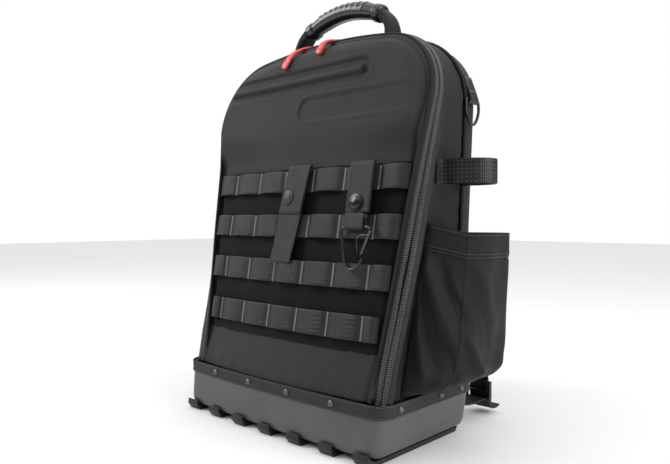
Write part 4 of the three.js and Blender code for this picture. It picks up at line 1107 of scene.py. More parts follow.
# %% [markdown]
# ## Base tray
# The base is one hard moulding, a tray that the bag's body sits in. It has round
# corners and a front that bows out a little. A webbing tape binds it to the cloth and
# rivets go through both. Seven rubber feet are fixed under it and turn up at the front.

# %% Tray
TRAY_UNDERSIDE_Z = 5
TRAY_HEIGHT = 51
TRAY_BOW = 0.00022
TRAY_CORNER_R = 18
TAPE_Z = 50.8


def tray_reach(z):
    """The tray's half width, front and rear at a height: its wall leans outwards at the
    sides and the rear, and back at the front."""
    share = (z - TRAY_UNDERSIDE_Z) / TRAY_HEIGHT
    return lerp(150, 154, share), lerp(-80, -74, share), lerp(85, 91, share)


def tray_plan(z, offset, steps=(26, 12, 14)):
    half, front, rear = tray_reach(z)
    half, front, rear = half + offset, front - offset, rear + offset
    r = max(2, TRAY_CORNER_R + offset)
    straight = half - r
    x = np.linspace(0, straight, steps[0])
    angle = np.linspace(-math.pi / 2, 0, steps[1] + 1)[1:]
    corner_y = front + TRAY_BOW * straight**2 + r
    side = np.linspace(corner_y, rear - r, steps[2] + 2)[1:-1]
    turn = np.linspace(0, math.pi / 2, steps[1] + 1)
    back_x = np.linspace(straight, 0, steps[0])[1:]
    right = np.concatenate([
        np.stack([x, front + TRAY_BOW * x * x], 1),
        np.stack([straight + r * np.cos(angle), corner_y + r * np.sin(angle)], 1),
        np.stack([0 * side + half, side], 1),
        np.stack([straight + r * np.cos(turn), rear - r + r * np.sin(turn)], 1),
        np.stack([back_x, 0 * back_x + rear], 1)])
    left = right[-2:0:-1] * [-1, 1]
    plan = np.concatenate([right, left])
    return np.column_stack([plan, np.full(len(plan), z)])


tray_profile = [(8.5, -11), (9.2, -8.2), (11, -6), (16, -3), (30, -3), (55, -3), (55.8, -2.6),
                (56, -2.2), (56, -0.8), (55.8, -0.3), (55, 0), (48, 0), (40, 0), (30, 0), (20, 0),
                (15, -0.1), (11.5, -0.9), (9.4, -1.8), (8, -3.1), (6.6, -5.2), (5.6, -7.2),
                (5.1, -8.8), (5, -10)]
tray_rings = np.array([tray_plan(z, offset) for z, offset in tray_profile])
rows, columns = tray_rings.shape[:2]
faces, _, _ = quads(rows, columns, wrap=True)
faces = faces.tolist() + [list(range(columns)),
                          [(rows - 1) * columns + n for n in range(columns)][::-1]]
tray = add_mesh("tray_moulding", tray_rings.reshape(-1, 3), faces)
dress(tray, tray_plastic, nodes=("base_tray",))
print("tray rings", rows, "of", columns)

# %% Binding tape and rivets
tape_line = tray_plan(TAPE_Z, 0.3 + 0.9)
ahead = np.roll(tape_line, -1, 0) - np.roll(tape_line, 1, 0)
tape_out = unit(np.stack([ahead[:, 1], -ahead[:, 0], 0 * ahead[:, 0]], 1))
tape_sections = [flat_section(13.6, 1.8, 8) for _ in tape_line]
tape = sweep("tape_webbing_band", tape_line, np.tile([0.0, 0, 1], (len(tape_line), 1)), tape_out,
             tape_sections, closed=True)
dress(tape, tape_webbing, nodes=("binding_tape",))
tape_edges = [(np.vstack([p, p[:1]]), np.vstack([tape_out, tape_out[:1]]))
              for p in (tape_line + tape_out * 1.0 + [0, 0, up] for up in (-5.4, 5.4))]
dress(repeat("tape_stitches", tape_edges, seam_stitch, 3.5, grey_thread), None)

RIVET_OFF = 2.7
RIVET_X = (-93, -31, 31, 93)
RIVET_SIDE_Y = (-44, 24, 62)
tape_half, tape_front, tape_rear = tray_reach(TAPE_Z)
rivet_front = tape_front - RIVET_OFF
rivet_places = [((x, rivet_front + TRAY_BOW * x * x, TAPE_Z), (0, -1, 0)) for x in RIVET_X]
rivet_places += [((x, tape_rear + RIVET_OFF, TAPE_Z), (0, 1, 0)) for x in RIVET_X]
rivet_places += [((hand * (tape_half + RIVET_OFF), y, TAPE_Z), (hand, 0, 0))
                 for hand in (-1, 1) for y in RIVET_SIDE_Y]
rivet_shape = lathe("rivet_shape",
                    [(0.05, -0.6), (3.5, -0.6), (3.6, -0.1), (3.35, 0.25), (2.9, 0.35), (2.7, 0.75),
                     (2.1, 1.35), (1.2, 1.72), (0.05, 1.85)], (0, 0, 0), (0, 0, 1),
                    20)
bpy.context.scene.collection.objects.unlink(rivet_shape)
pieces.pop("rivet_shape")
rivets = repeat("rivet_heads", rivet_places, rivet_shape, 1, rivet_metal, on_points=True)
dress(rivets, None, nodes=[f"rivet_{n + 1}" for n in range(14)])

# %% Feet


def moulded_bar(name, outline, low_x, width, bevel):
    """A side outline of y and z, extruded along X, with its edges rounded."""
    work = bmesh.new()
    ring = [work.verts.new((low_x * MM, y * MM, z * MM)) for y, z in outline]
    face = work.faces.new(ring)
    grown = bmesh.ops.extrude_face_region(work, geom=[face])
    moved = [v for v in grown["geom"] if isinstance(v, bmesh.types.BMVert)]
    bmesh.ops.translate(work, vec=(width * MM, 0, 0), verts=moved)
    bmesh.ops.recalc_face_normals(work, faces=work.faces)
    bmesh.ops.bevel(work, geom=work.edges[:], offset=bevel * MM, segments=4, profile=0.5,
                    affect="EDGES", clamp_overlap=True)
    mesh = bpy.data.meshes.new(name)
    work.to_mesh(mesh)
    work.free()
    mesh.shade_smooth()
    made = bpy.data.objects.new(name, mesh)
    bpy.context.scene.collection.objects.link(made)
    pieces[name] = made
    return made


FOOT_WIDTH = 19
feet = []
for n in range(7):
    x = LOOP_PITCH * (n - 3)
    front = -80 + TRAY_BOW * max(0, abs(x) - FOOT_WIDTH / 2) ** 2
    outline = [(front - 1.6, 12), (front - 2.4, 6), (front + 2, 0), (69, 0), (73, 4.7),
               (front + 9.5, 4.7), (front + 2.4, 7.6), (front - 0.5, 10.5), (front - 0.7, 12)]
    feet.append(moulded_bar(f"foot_block_{n}", outline, x - FOOT_WIDTH / 2, FOOT_WIDTH, 0.9))
feet = join("rubber_feet", feet)
dress(feet, foot_rubber, nodes=[f"foot_{n + 1}" for n in range(7)])
print("feet and rivets done")

# %% [markdown]
# ## Webbing ladder
# Four rows of 25 mm webbing are sewn down every 44.8 mm and stand off the shell in
# between, so that things can be threaded through. Each loop is a smooth bulge; real
# ones differ a little, so each gets its own height from a fixed list.

# %% Rows of webbing
DOWN = np.array([0, -math.sin(SLOPE), -math.cos(SLOPE)])
OUT = np.array([0, -math.cos(SLOPE), math.sin(SLOPE)])


def field_point(x, down, off):
    z = ROW_TOP_Z - math.cos(SLOPE) * down
    x, z, off = np.broadcast_arrays(np.asarray(x, float), z, off)
    return np.stack([x, shell_y(x, z), z], -1) + OUT * off[..., None]


def plane_point(x, down, off, sag_x=None):
    """The same from a plane with the field's slope, set back as the field is at sag_x."""
    sag_x = x if sag_x is None else sag_x
    face = np.array([x, FIELD_FACE_Y + FIELD_CURVE * sag_x * sag_x, ROW_TOP_Z])
    return face + DOWN * down + OUT * off


row_ends = [147, 143, 138, 131]
tack_x = [n * LOOP_PITCH for n in (-2.5, -1.5, -0.5, 0.5, 1.5, 2.5)]
loop_heights = [1.02, 0.9, 1.05, 0.95, 1.0, 0.92, 1.04]
for row, half_length in enumerate(row_ends):
    ends = [-half_length, *tack_x, half_length]
    xs, lows = [], []
    for n in range(len(ends) - 1):
        share = np.linspace(0, 1, 23)[:-1] if n < len(ends) - 2 else np.linspace(0, 1, 23)
        lift = np.clip(1 - np.abs(2 * share - 1) ** 2.4, 0,
                       1) * smooth(np.minimum(share, 1 - share), 0, 0.12)
        tall = loop_heights[(n + 3 * row) % 7]
        xs.append(lerp(ends[n], ends[n + 1], share))
        under_strap = row < 2 and n in (3, 5)
        lows.append(0.4 + (4.0 if under_strap else 5.4) * tall * lift)
    xs, lows = np.concatenate(xs), np.concatenate(lows)
    section = flat_section(ROW_HEIGHT, ROW_THICKNESS, 9)
    downs = row * ROW_PITCH + ROW_HEIGHT / 2 + section[:, 0]
    rise = section[:, 1] + ROW_THICKNESS / 2
    rings = field_point(xs[:, None], downs[None, :], lows[:, None] + rise[None, :])
    faces, i, j = quads(len(xs), len(section), wrap=True)
    loop = np.concatenate([section, section[:1]])
    u = np.concatenate([[0], np.cumsum(np.linalg.norm(np.diff(loop, axis=0), axis=1))])
    v = np.concatenate([[0], np.cumsum(np.hypot(np.diff(xs), np.diff(lows)))])
    corner_uv = np.stack([np.stack([u[j + b], v[i + a]], -1).reshape(-1, 2)
                          for a, b in ((0, 0), (0, 1), (1, 1), (1, 0))], 1).reshape(-1, 2)
    count = len(section)
    faces = faces.tolist() + [list(range(count))[::-1],
                              [(len(xs) - 1) * count + n for n in range(count)]]
    corner_uv = np.concatenate([corner_uv, np.zeros((2 * count, 2))])
    made = add_mesh(f"row_of_loops_{row + 1}", rings.reshape(-1, 3), faces, corner_uv)
    dress(made, row_webbing, nodes=(f"webbing_row_{row + 1}",))
print("rows of webbing:", len(row_ends))

# %% Bar tacks
tacks = []
for row in range(4):
    downs = row * ROW_PITCH + np.linspace(1.2, 24.2, 12)
    for x in tack_x:
        tacks.append((field_point(x, downs, 2.15), OUT))
dress(repeat("bar_tacks", tacks, tack_stitch, 1.25, light_thread, slant=0.5), None)

# %% [markdown]
# ## Hanging straps
# Two straps hang from the top row. The left one folds back on itself under a press
# stud and its tail hangs free, so it twists a little. The right one is shorter and ends
# in a loop round the bar of a snap hook. Straps are modelled directly as bands.

# %% Straps


def hanging_band(name, x, width, lean, profile, thickness, count, twist=0.0):
    """A strap that hangs down the field: profile of distance down and standing off."""
    profile = np.asarray(profile, float)
    run = spline(np.column_stack([profile[:, 0], profile[:, 1], 0 * profile[:, 0]]), count)
    centres = np.array([plane_point(x + lean * down, down, off) for down, off in run[:, :2]])
    turn = twist * smooth(run[:, 0], 50, 106)
    across = np.array([unit([math.cos(a), 0, 0] + OUT * math.sin(a)) for a in turn])
    along = unit(np.gradient(centres, axis=0))
    out = unit(np.cross(along, across))
    out *= np.where((out @ OUT)[:, None] < 0, -1, 1)
    sections = [flat_section(width, thickness, 8) for _ in centres]
    return sweep(name, centres, across, out, sections)


left_under = hanging_band("strap_left_tail", 5, 34.5, -0.135,
                          [(-4.5, 5.6), (-2, 6.9), (4, 7.5), (50, 7.5), (80, 7.3), (105, 7.6)], 1.7,
                          60, 0.06)
left_flap = hanging_band("strap_left_flap", 5, 34.5, -0.135,
                         [(-4.5, 7.4), (-2, 8.7), (4, 9.3), (25, 9.4), (44, 9.3), (49, 9.1),
                          (50.5, 8.6)], 1.7, 50)
strap_left = join("strap_left_webbing", [left_under, left_flap])
dress(strap_left, strap_webbing, nodes=("strap_left",))
right_under = hanging_band("strap_right_under", 94.5, 31, 0,
                           [(-4.5, 5.6), (-2, 6.9), (4, 7.5), (49.5, 7.5)], 1.7, 40)
right_flap = hanging_band("strap_right_flap", 94.5, 31, 0,
                          [(-4.5, 7.4), (-2, 8.7), (4, 9.3), (25, 9.4), (44, 9.3), (50, 9.1)], 1.7,
                          50)
strap_right = join("strap_right_webbing", [right_under, right_flap])
dress(strap_right, strap_webbing, nodes=("strap_right",))


def strap_line(x, lean, width_share, width, low, high, off):
    down = np.linspace(low, high, 24)
    return np.array([plane_point(x + lean * d + width_share * width, d, off) for d in down]), OUT


def strap_cross(x, lean, width, down, off):
    share = np.linspace(-0.44, 0.44, 16)
    return np.array([plane_point(x + lean * down + s * width, down, off) for s in share]), OUT


strap_seams = [strap_line(5, -0.135, s, 34.5, 1, 45, 10.2) for s in (-0.44, 0.44)]
strap_seams += [strap_line(94.5, 0, s, 31, 1, 46, 10.2) for s in (-0.44, 0.44)]
strap_seams += [strap_cross(5, -0.135, 34.5, d, 10.2) for d in (43.5, 46.5)]
strap_seams += [strap_cross(94.5, 0, 31, d, 10.2) for d in (2, 46)]
dress(repeat("strap_stitches", strap_seams, seam_stitch, 3.2, grey_thread), None)
print("hanging straps done")

# %% Press studs
stud = [(0.1, 0), (6.4, 0), (6.9, 0.4), (7.0, 0.9), (6.6, 1.25), (5.9, 1.2), (5.5, 1.3), (5.0, 2.1),
        (3.9, 2.75), (2.2, 3.1), (0.1, 3.2)]
left_stud = lathe("stud_left", [(r * 1.16, h * 0.75) for r, h in stud],
                  plane_point(-6, 32, 10.5, 0), OUT, 48)
dress(left_stud, stud_metal, nodes=("snap_left",))
right_stud = lathe("stud_right", [(r * 1.22, h * 0.8) for r, h in stud],
                   plane_point(92.5, 39.4, 10.5, 85.3), OUT, 48)
dress(right_stud, black_metal, nodes=("snap_right",))

# %% Loop and hook
arc = np.linspace(math.pi, 2 * math.pi, 15)
loop_path = [(51, 7.05), (57, 7.05), (63, 7.05)]
loop_path += [(65 - 2.55 * math.sin(a), 9.6 + 2.55 * math.cos(a)) for a in arc]
loop_path += [(63, 12.15), (57, 12.15), (51, 12.15)]
loop_centres = np.array([plane_point(95, down, off, 83) for down, off in loop_path])
loop_across = np.tile([1.0, 0, 0], (len(loop_centres), 1))
loop_out = unit(np.cross(unit(np.gradient(loop_centres, axis=0)), loop_across))
hook_loop = sweep("hook_loop_webbing", loop_centres, loop_across, loop_out,
                  [flat_section(25, 1.5, 8)] * len(loop_centres))
dress(hook_loop, strap_webbing, nodes=("hook_loop",))


def hook_point(x, down, off=9.6):
    return plane_point(x, down, off, 83)


hook_path = [(116.5, 66.6), (113, 65), (104, 65), (95, 65), (86, 65), (80.5, 65.6), (78, 70),
             (80.5, 80), (84.5, 96), (88.5, 104), (94.5, 108), (101, 107), (106.5, 102),
             (109.5, 96.8)]
hook_frame = tube("hook_wire", [hook_point(*p) for p in hook_path], [1.5] * 13 + [1.35], 170, 16,
                  hint=tuple(OUT))
dress(hook_frame, black_metal, nodes=("hook_frame",))


def strip(name, points, width, depth, count=24):
    run = spline([(*hook_point(x, down), 0) for x, down in points], count)[:, :3]
    along = unit(np.gradient(run, axis=0))
    across = np.tile(OUT, (len(run), 1))
    out = unit(np.cross(along, across))
    return sweep(name, run, across, out, [flat_section(depth, width, 4, 4)] * len(run))


gate_rail = strip("gate_rail", [(116.1, 68.4), (112.8, 77), (107.5, 92.6)], 2.6, 3)
gate_arm = strip("gate_arm", [(114, 73), (104, 73.6), (101.2, 76), (102.6, 90.5)], 1.2, 2.4)
coil_x = np.linspace(0, 5 * 2 * math.pi, 90)
gate_coil = [hook_point(108 + 0.12 * c, 73.2 + 1.3 * math.sin(c),
                        9.6 + 1.3 * math.cos(c)) for c in coil_x]
gate_spring = tube("gate_spring", gate_coil, 0.35, 200, 6)
gate = join("hook_gate_piece", [gate_rail, gate_arm])
dress(gate, gun_metal, body="gate", nodes=("hook_gate",))
dress(gate_spring, gun_metal, body="gate")
print("hook done")

# %% [markdown]
# ## Carry handle
# The grip is a rubber moulding over a webbing core: a flattened round bar with raised
# ribs on top, a smooth collar at each end and fabric that runs down into the bag. Its
# section changes along its length, so it is swept from rings with their own sizes.

# %% Grip


def grip_z(x):
    return 479 - 14 * (np.asarray(x, float) / 58) ** 2


grip_x = np.linspace(-58, 58, 233)
plain = np.interp(grip_x, [-58, -57, -56, -50, -49, -47.5, -32, 32, 47.5, 49, 50, 56, 57, 58],
                  [0.8, 0.96, 1.03, 1.05, 1.02, 0.9, 1, 1, 0.9, 1.02, 1.05, 1.03, 0.96, 0.8])
ridge = np.clip(np.cos(2 * math.pi * grip_x / 8.4), -0.2, 1) * (np.abs(grip_x) < 38)
lean = np.arctan(-2 * 14 * grip_x / 58**2)
ring_angle = np.linspace(0, 2 * math.pi, 40, endpoint=False)
upper_side = smooth(np.sin(ring_angle), 0.1, 0.6)
size = 10 * (plain[:, None] + 0.085 * ridge[:, None] * upper_side[None, :])
size = size - 0.6 * (hump(ring_angle, math.pi * 1.5,
                          0.16))[None, :] * (np.abs(grip_x) < 47)[:, None]
grip_sections = np.stack([1.15 * size * np.cos(ring_angle), size * np.sin(ring_angle)], -1)
grip_centres = np.stack([grip_x, 50 + 0 * grip_x, grip_z(grip_x)], 1)
grip_across = np.tile([0.0, 1, 0], (len(grip_x), 1))
grip_out = np.stack([-np.sin(lean), 0 * lean, np.cos(lean)], 1)
grip = sweep("rubber_grip", grip_centres, grip_across, grip_out, grip_sections)
dress(grip, grip_rubber, nodes=("handle_grip",))

# %% Fabric ends of the handle
end_route = [(58.4, 464.6, -24, 20, 13), (62, 461.5, -34, 20.5, 12), (66, 457.5, -46, 22, 11),
             (71, 448, -70, 26, 8), (72.5, 438, -84, 30, 6), (73, 432.5, -90, 34, 5.6)]
end_seams = []
for name, hand in (("left", -1), ("right", 1)):
    stations = [(hand * x, 50, z, hand * math.sin(math.radians(-turn)), 0,
                 math.cos(math.radians(turn)), wide, thick)
                for x, z, turn, wide, thick in end_route]
    run = spline(stations, 40)
    out = unit(run[:, 3:6])
    across = np.tile([0.0, 1, 0], (len(run), 1))
    wrap = sweep(f"handle_wrap_{name}", run[:, :3], across, out,
                 [pad_section(wd, th, 5, 28) for wd, th in run[:, 6:8]])
    dress(wrap, smooth_cloth, nodes=(f"handle_end_{name}",))
    for side in (-0.4, 0.4):
        line = run[6:, :3] + across[6:] * run[6:, 6:7] * side + out[6:] * (run[6:, 7:8] * 0.42)
        end_seams.append((line, out[6:]))
dress(repeat("handle_stitches", end_seams, seam_stitch, 3.2, grey_thread), None)
print("handle done")

# %% [markdown]
# ## Sliders and pulls
# Each slider is a two-plate metal body with a bridge over it. A soft moulded pull is
# tied to the bridge and lies over the edge of the shell; it widens towards its end,
# where a groove is pressed in for the finger.

# %% Zip sliders
pull_list = [("left", -25, -19, 21), ("right", 20, -8, 13)]
for side, x, reach, fall in pull_list:
    top = TOP_Z - CROWN * x * x
    middle = zip_y(top)
    base_z = top - 3 + 2.6 + 0.9
    low_plate = rounded_block(f"slider_plate_{side}", (14, 9.6, 1.3), (x, middle, base_z + 0.65), 0,
                              0.55)
    neck = rounded_block(f"slider_neck_{side}", (9, 5, 1.2), (x, middle, base_z + 1.6), 0, 0.4)
    bridge_path = [(x - 5.4, middle, base_z + 1.4), (x - 4.4, middle, base_z + 2.7),
                   (x, middle, base_z + 3.1), (x + 4.4, middle, base_z + 2.7),
                   (x + 5.4, middle, base_z + 1.4)]
    bridge = tube(f"slider_bridge_{side}", bridge_path, 0.85, 40, 10)
    slider = join(f"slider_body_{side}", [low_plate, neck, bridge])
    dress(slider, black_metal, nodes=(f"slider_{side}",))

# %% Moulded pulls
for side, x, reach, fall in pull_list:
    top = TOP_Z - CROWN * x * x
    middle = float(zip_y(top))
    start = np.array([x - 2, middle - 7.6, top + 1.6])
    edge = np.array([x - 5, middle - 15, top + 0.6])
    end_x, end_z = x - 5 + reach, top - 4 - fall
    low = np.array([end_x, float(shell_y(end_x, end_z)) - 3.6, end_z])
    bend = lerp(edge, low, 0.45) + [0, -4.4, 4]
    run = spline([(*start, 4.5), (*edge, 6), (*bend, 8.5), (*low, 10.5)], 60)
    along = unit(np.gradient(run[:, :3], axis=0))
    across = unit(np.array([1.0, 0, 0]) - along * along[:, :1])
    out = unit(np.cross(across, along))
    t = np.linspace(0, 1, 60)
    thick = 2.9 + 0.5 * smooth(t, 0.5, 0.9) - 0.9 * hump(t, 0.8, 0.03) - 0.6 * hump(t, 0.62, 0.03)
    tip = np.sqrt(1 - np.clip((t - 0.93) / 0.07, 0, 1) ** 2 * 0.75)
    root = np.sqrt(1 - np.clip((0.05 - t) / 0.05, 0, 1) ** 2 * 0.6)
    sections = [pad_section(wd * a * b, th * a * b, 4.5, 32) for wd, th, a,
                b in zip(run[:, 3], thick, tip, root)]
    pull = sweep(f"soft_pull_{side}", run[:, :3], across, out, sections)
    dress(pull, pull_rubber, nodes=(f"pull_{side}",))
    tie = tube(f"pull_tie_{side}",
               [start + [0.4, -1.5, 0.1], start + [0.6, 2.4, 1.6], (x, middle - 1.0, top + 2.4),
                (x + 1.6, middle + 0.6, top + 2.0)], 0.9, 40, 8)
    dress(tie, buckle_plastic)
print("sliders and pulls done")

# %% [markdown]
# ## Side pocket and elastic
# The pocket is a cloth bag sewn to the right side, pleated at its foot so that it
# stands out. Its wall is one sheet with a wide hem; long soft folds run down it from
# the top of its front seam. It is a closed wall, so its inside can be looked into.

# %% Pocket
pocket_levels = np.array([(60, 0.1), (64, 0.45), (71, 0.76), (80, 0.94), (97, 1.0), (130, 1.03),
                          (175, 1.02), (217, 1)])
pocket_folds = [(0.01, 190, 0.255, 106, 4.6, 0.04), (0.0, 150, 0.12, 72, 3.2, 0.035),
                (0.29, 196, 0.5, 125, 2.2, 0.045), (0.26, 128, 0.45, 76, 4.0, 0.035),
                (0.07, 204, 0.25, 150, 1.6, 0.03), (0.0, 170, 0.18, 86, -3.0, 0.03),
                (0.1, 196, 0.26, 132, -2.4, 0.03), (0.335, 150, 0.485, 92, -1.8, 0.045),
                (0.18, 110, 0.28, 72, -2.6, 0.035)]
POCKET_CORNER = 0.26


def fold_heights(s, z):
    """Long soft folds: each runs between two spots of the wall and fades at its ends."""
    height = 0 * s
    for low_s, high_z, high_s, low_z, tall, wide in pocket_folds:
        run = (high_z - z) / (high_z - low_z)
        fade = smooth(run, -0.12, 0.18) * (1 - smooth(run, 0.8, 1.12))
        height = height + 1.5 * tall * hump(s, lerp(low_s, high_s, run), wide) * fade
    return height


pocket_curve = spline(np.column_stack([pocket_levels[:, 0], 0 * pocket_levels[:, 0],
                                       0 * pocket_levels[:, 0], pocket_levels[:, 1]]), 141)


def pocket_wall(inset, with_relief):
    rows = []
    for z, reach in pocket_curve[:, (0, 3)]:
        wall_z = z + (inset if z < 75 else 0)
        front = zip_y(z) + ZIP_HALF_WIDTH + 7
        corner = lerp(-15, 9, (z - 103) / 114)
        near = inset * 0.7
        plan = [(0, front + inset), (0.1, front + 1 + near), (0.4, lerp(front, corner, 0.5) + near),
                (0.68, corner + near), (0.92, corner + 16), (1, 44), (1.02, 60), (0.86, 70 - near),
                (0.45, 68 - inset), (0, 60 - inset)]
        run = spline([(o * 58, y, 0) for o, y in plan], 161)
        out, y = run[:, 0] / 58, run[:, 1]
        stand = np.maximum(out * reach * 58 - inset * smooth(out, 0.1, 0.35),
                           0.4 * smooth(out, 0, 0.02))
        x = side_x(np.minimum(y, BACK_SEAM_Y), z) + 0.6 + stand
        rim_rise = 9.5 * np.clip(1 - np.linspace(0, 1, 161) / POCKET_CORNER, 0,
                                 1) * smooth(wall_z, 60, 217)
        ring = np.stack([x, y, wall_z + rim_rise], 1)
        if with_relief:
            way = unit(np.gradient(ring, axis=0))
            normal = unit(np.stack([way[:, 1], -way[:, 0], 0 * way[:, 0]], 1))
            s = np.linspace(0, 1, 161)
            hem = 1 - smooth(217 - z, 22, 25)
            slack = 0.6 * np.sin(2 * math.pi * (s * 5.1 - (z - 60) / 120)
                                 + 1) * smooth(s, 0.1, 0.3) * (1 - smooth(s, 0.85, 1))
            corner_line = 1.3 * hump(s, POCKET_CORNER, 0.007)
            lift = (fold_heights(s, z) + slack) * (1 - hem) * smooth(z, 60, 84) + corner_line
            lift = lift + 0.9 * hem - 0.8 * hump(217 - z, 24.5, 1.3)
            lift = lift * smooth(np.minimum(s, 1 - s), 0, 0.05)
            ring = ring + normal * lift[:, None]
        rows.append(ring)
    return np.array(rows)


pocket_outer = pocket_wall(0, True)
pocket = panel("side_pocket_cloth", pocket_outer, pocket_wall(1.8, False))
dress(pocket, body_cloth, nodes=("side_pocket",))
way = unit(np.gradient(pocket_outer, axis=1))
pocket_normal = unit(np.stack([way[..., 1], -way[..., 0], 0 * way[..., 0]], -1))
hem_rows = [int(np.argmin(np.abs(pocket_outer[:, 80, 2] - z))) for z in (214.5, 196.5, 194)]
hem_lines = [(pocket_outer[r, 6:150] + pocket_normal[r, 6:150] * 0.25,
              pocket_normal[r, 6:150]) for r in hem_rows]
dress(repeat("pocket_stitches", hem_lines, seam_stitch, 3.3, grey_thread), None)
print("pocket grid", pocket_outer.shape[:2])

# %% Elastic strap


def elastic_edge(y):
    return float(side_x(y, 278)) + 1.4


elastic_route = [(elastic_edge(6), 6), (elastic_edge(13) + 1, 13), (180, 16.5), (197, 22),
                 (205, 33), (205, 45), (196, 55), (178, 58), (elastic_edge(52) + 4, 57),
                 (elastic_edge(62), 63)]
elastic_run = spline([(x, y, 278) for x, y in elastic_route], 120)
along = unit(np.gradient(elastic_run, axis=0))
elastic_out = unit(np.stack([along[:, 1], -along[:, 0], 0 * along[:, 0]], 1))
elastic = sweep("elastic_band", elastic_run, np.tile([0.0, 0, 1], (120, 1)), elastic_out,
                [flat_section(25, 1.8, 8)] * 120)
dress(elastic, elastic_webbing, nodes=("elastic_strap",))
dots = [(elastic_run[2:-2] + elastic_out[2:-2] * 1.0 + [0, 0, up],
         elastic_out[2:-2]) for up in np.linspace(-10, 10, 6)]
dress(repeat("elastic_dots", dots, dot_stitch, 4.4, dot_thread), None)

# %% [markdown]
# ## D-rings
# A short webbing tab on each upper edge of the back holds a D-ring of bent wire. The
# tab goes round the flat bar of the ring and back up, and is sewn with a box.

# %% Tabs and rings
TAB_Y = 79.5


def back_edge(hand, z, off):
    radius, _, centre_x, centre_z, _ = top_corner(1.5, 1 - BACK_SQUEEZE)
    rise = (TAB_Y - BACK_SEAM_Y) / (112 - BACK_SEAM_Y)
    tuck = 24 * (1 - math.sqrt(1 - rise * rise))
    angle = math.asin(min(1, max(0, (z - centre_z) / radius)))
    flat = float(half_width(min(z, centre_z))) * (1 - BACK_SQUEEZE) - 1.5
    reach = radius - tuck + off
    if z > centre_z:
        at = (hand * (centre_x + reach * math.cos(angle)), TAB_Y,
              centre_z + reach * math.sin(angle))
    else:
        at = (hand * (flat - tuck + off), TAB_Y, z)
    return np.array(at), np.array([hand * math.cos(angle), 0, math.sin(angle)])


tab_seams = []
for side, hand in (("left", -1), ("right", 1)):
    lean = unit([-0.14 * hand, 0.99, 0])
    bend = 1.6 + 0.3 + 0.6 + 0.2
    route = [back_edge(hand, z, off)[0] for z,
             off in ((412, 1.4), (402, 1.3), (390, 1.3), (376, 1.2), (364, 3.5 - bend))]
    for angle in np.radians([0, 30, 60, 90, 120, 150, 180]):
        at, _ = back_edge(hand, 358, 3.5 - bend * math.cos(angle))
        route.append(at - [0, 0, bend * math.sin(angle)])
    route += [back_edge(hand, z, off)[0] for z, off in ((364, 5.1), (374, 3.4), (384, 3.0))]
    run = spline([(*p, 0) for p in route], 90)[:, :3]
    along = unit(np.gradient(run, axis=0))
    across = np.tile(lean, (90, 1))
    out = unit(np.cross(along, across))
    tab = sweep(f"ring_tab_webbing_{side}", run, across, out, [flat_section(21, 1.2, 6)] * 90)
    dress(tab, strap_webbing, nodes=(f"ring_tab_{side}",))
    bar = back_edge(hand, 358, 3.5)[0]
    ring = [(-15, 0), (-9, 0), (-3, 0), (3, 0), (9, 0), (15, 0), (17, -7), (11, -20), (0, -26),
            (-11, -20), (-17, -7)]
    ring_path = [(bar[0] - hand * 0.14 * a, bar[1] + a, bar[2] + up) for a, up in ring]
    d_ring = tube(f"d_ring_wire_{side}", ring_path, 1.6, 132, 14, closed=True,
                  hint=(0.99, 0.14 * hand, 0))
    dress(d_ring, black_metal, nodes=(f"d_ring_{side}",))
    for across_share in (-0.38, 0.38):
        line = [back_edge(hand, z, 3.9)[0] + lean * across_share
                * 21 for z in np.linspace(366, 382, 8)]
        tab_seams.append((np.array(line), np.array([hand, 0, 0.2])))
    for z in (367, 381):
        line = [back_edge(hand, z, 4.1 if z > 372 else 5.4)[0] + lean * s
                * 21 for s in np.linspace(-0.38, 0.38, 8)]
        tab_seams.append((np.array(line), np.array([hand, 0, 0.2])))
dress(repeat("tab_stitches", tab_seams, box_stitch, 2.4, light_thread), None)
print("rings done")

# %% [markdown]
# ## Shoulder straps
# Each strap is foam in cloth, wide at the shoulder and narrow at its end. It starts as
# a swept rounded box, a little too thin. A cloth simulation with inner pressure then
# swells it, as foam swells under its cover, and an edge binding is sewn round it.

# %% Padded shoulder straps
strap_stations = np.array([(38, 114, 403, 62, 6, -20), (40, 122, 399, 64, 11, 0),
                           (44, 139, 372, 66, 12, 62), (52, 147, 330, 66, 12, 82),
                           (64, 149, 280, 64, 12, 90), (76, 147, 230, 60, 12, 96),
                           (86, 141, 185, 52, 11, 102), (92, 135, 158, 42, 8, 106),
                           (93, 133.5, 150, 30, 4, 106)], float)


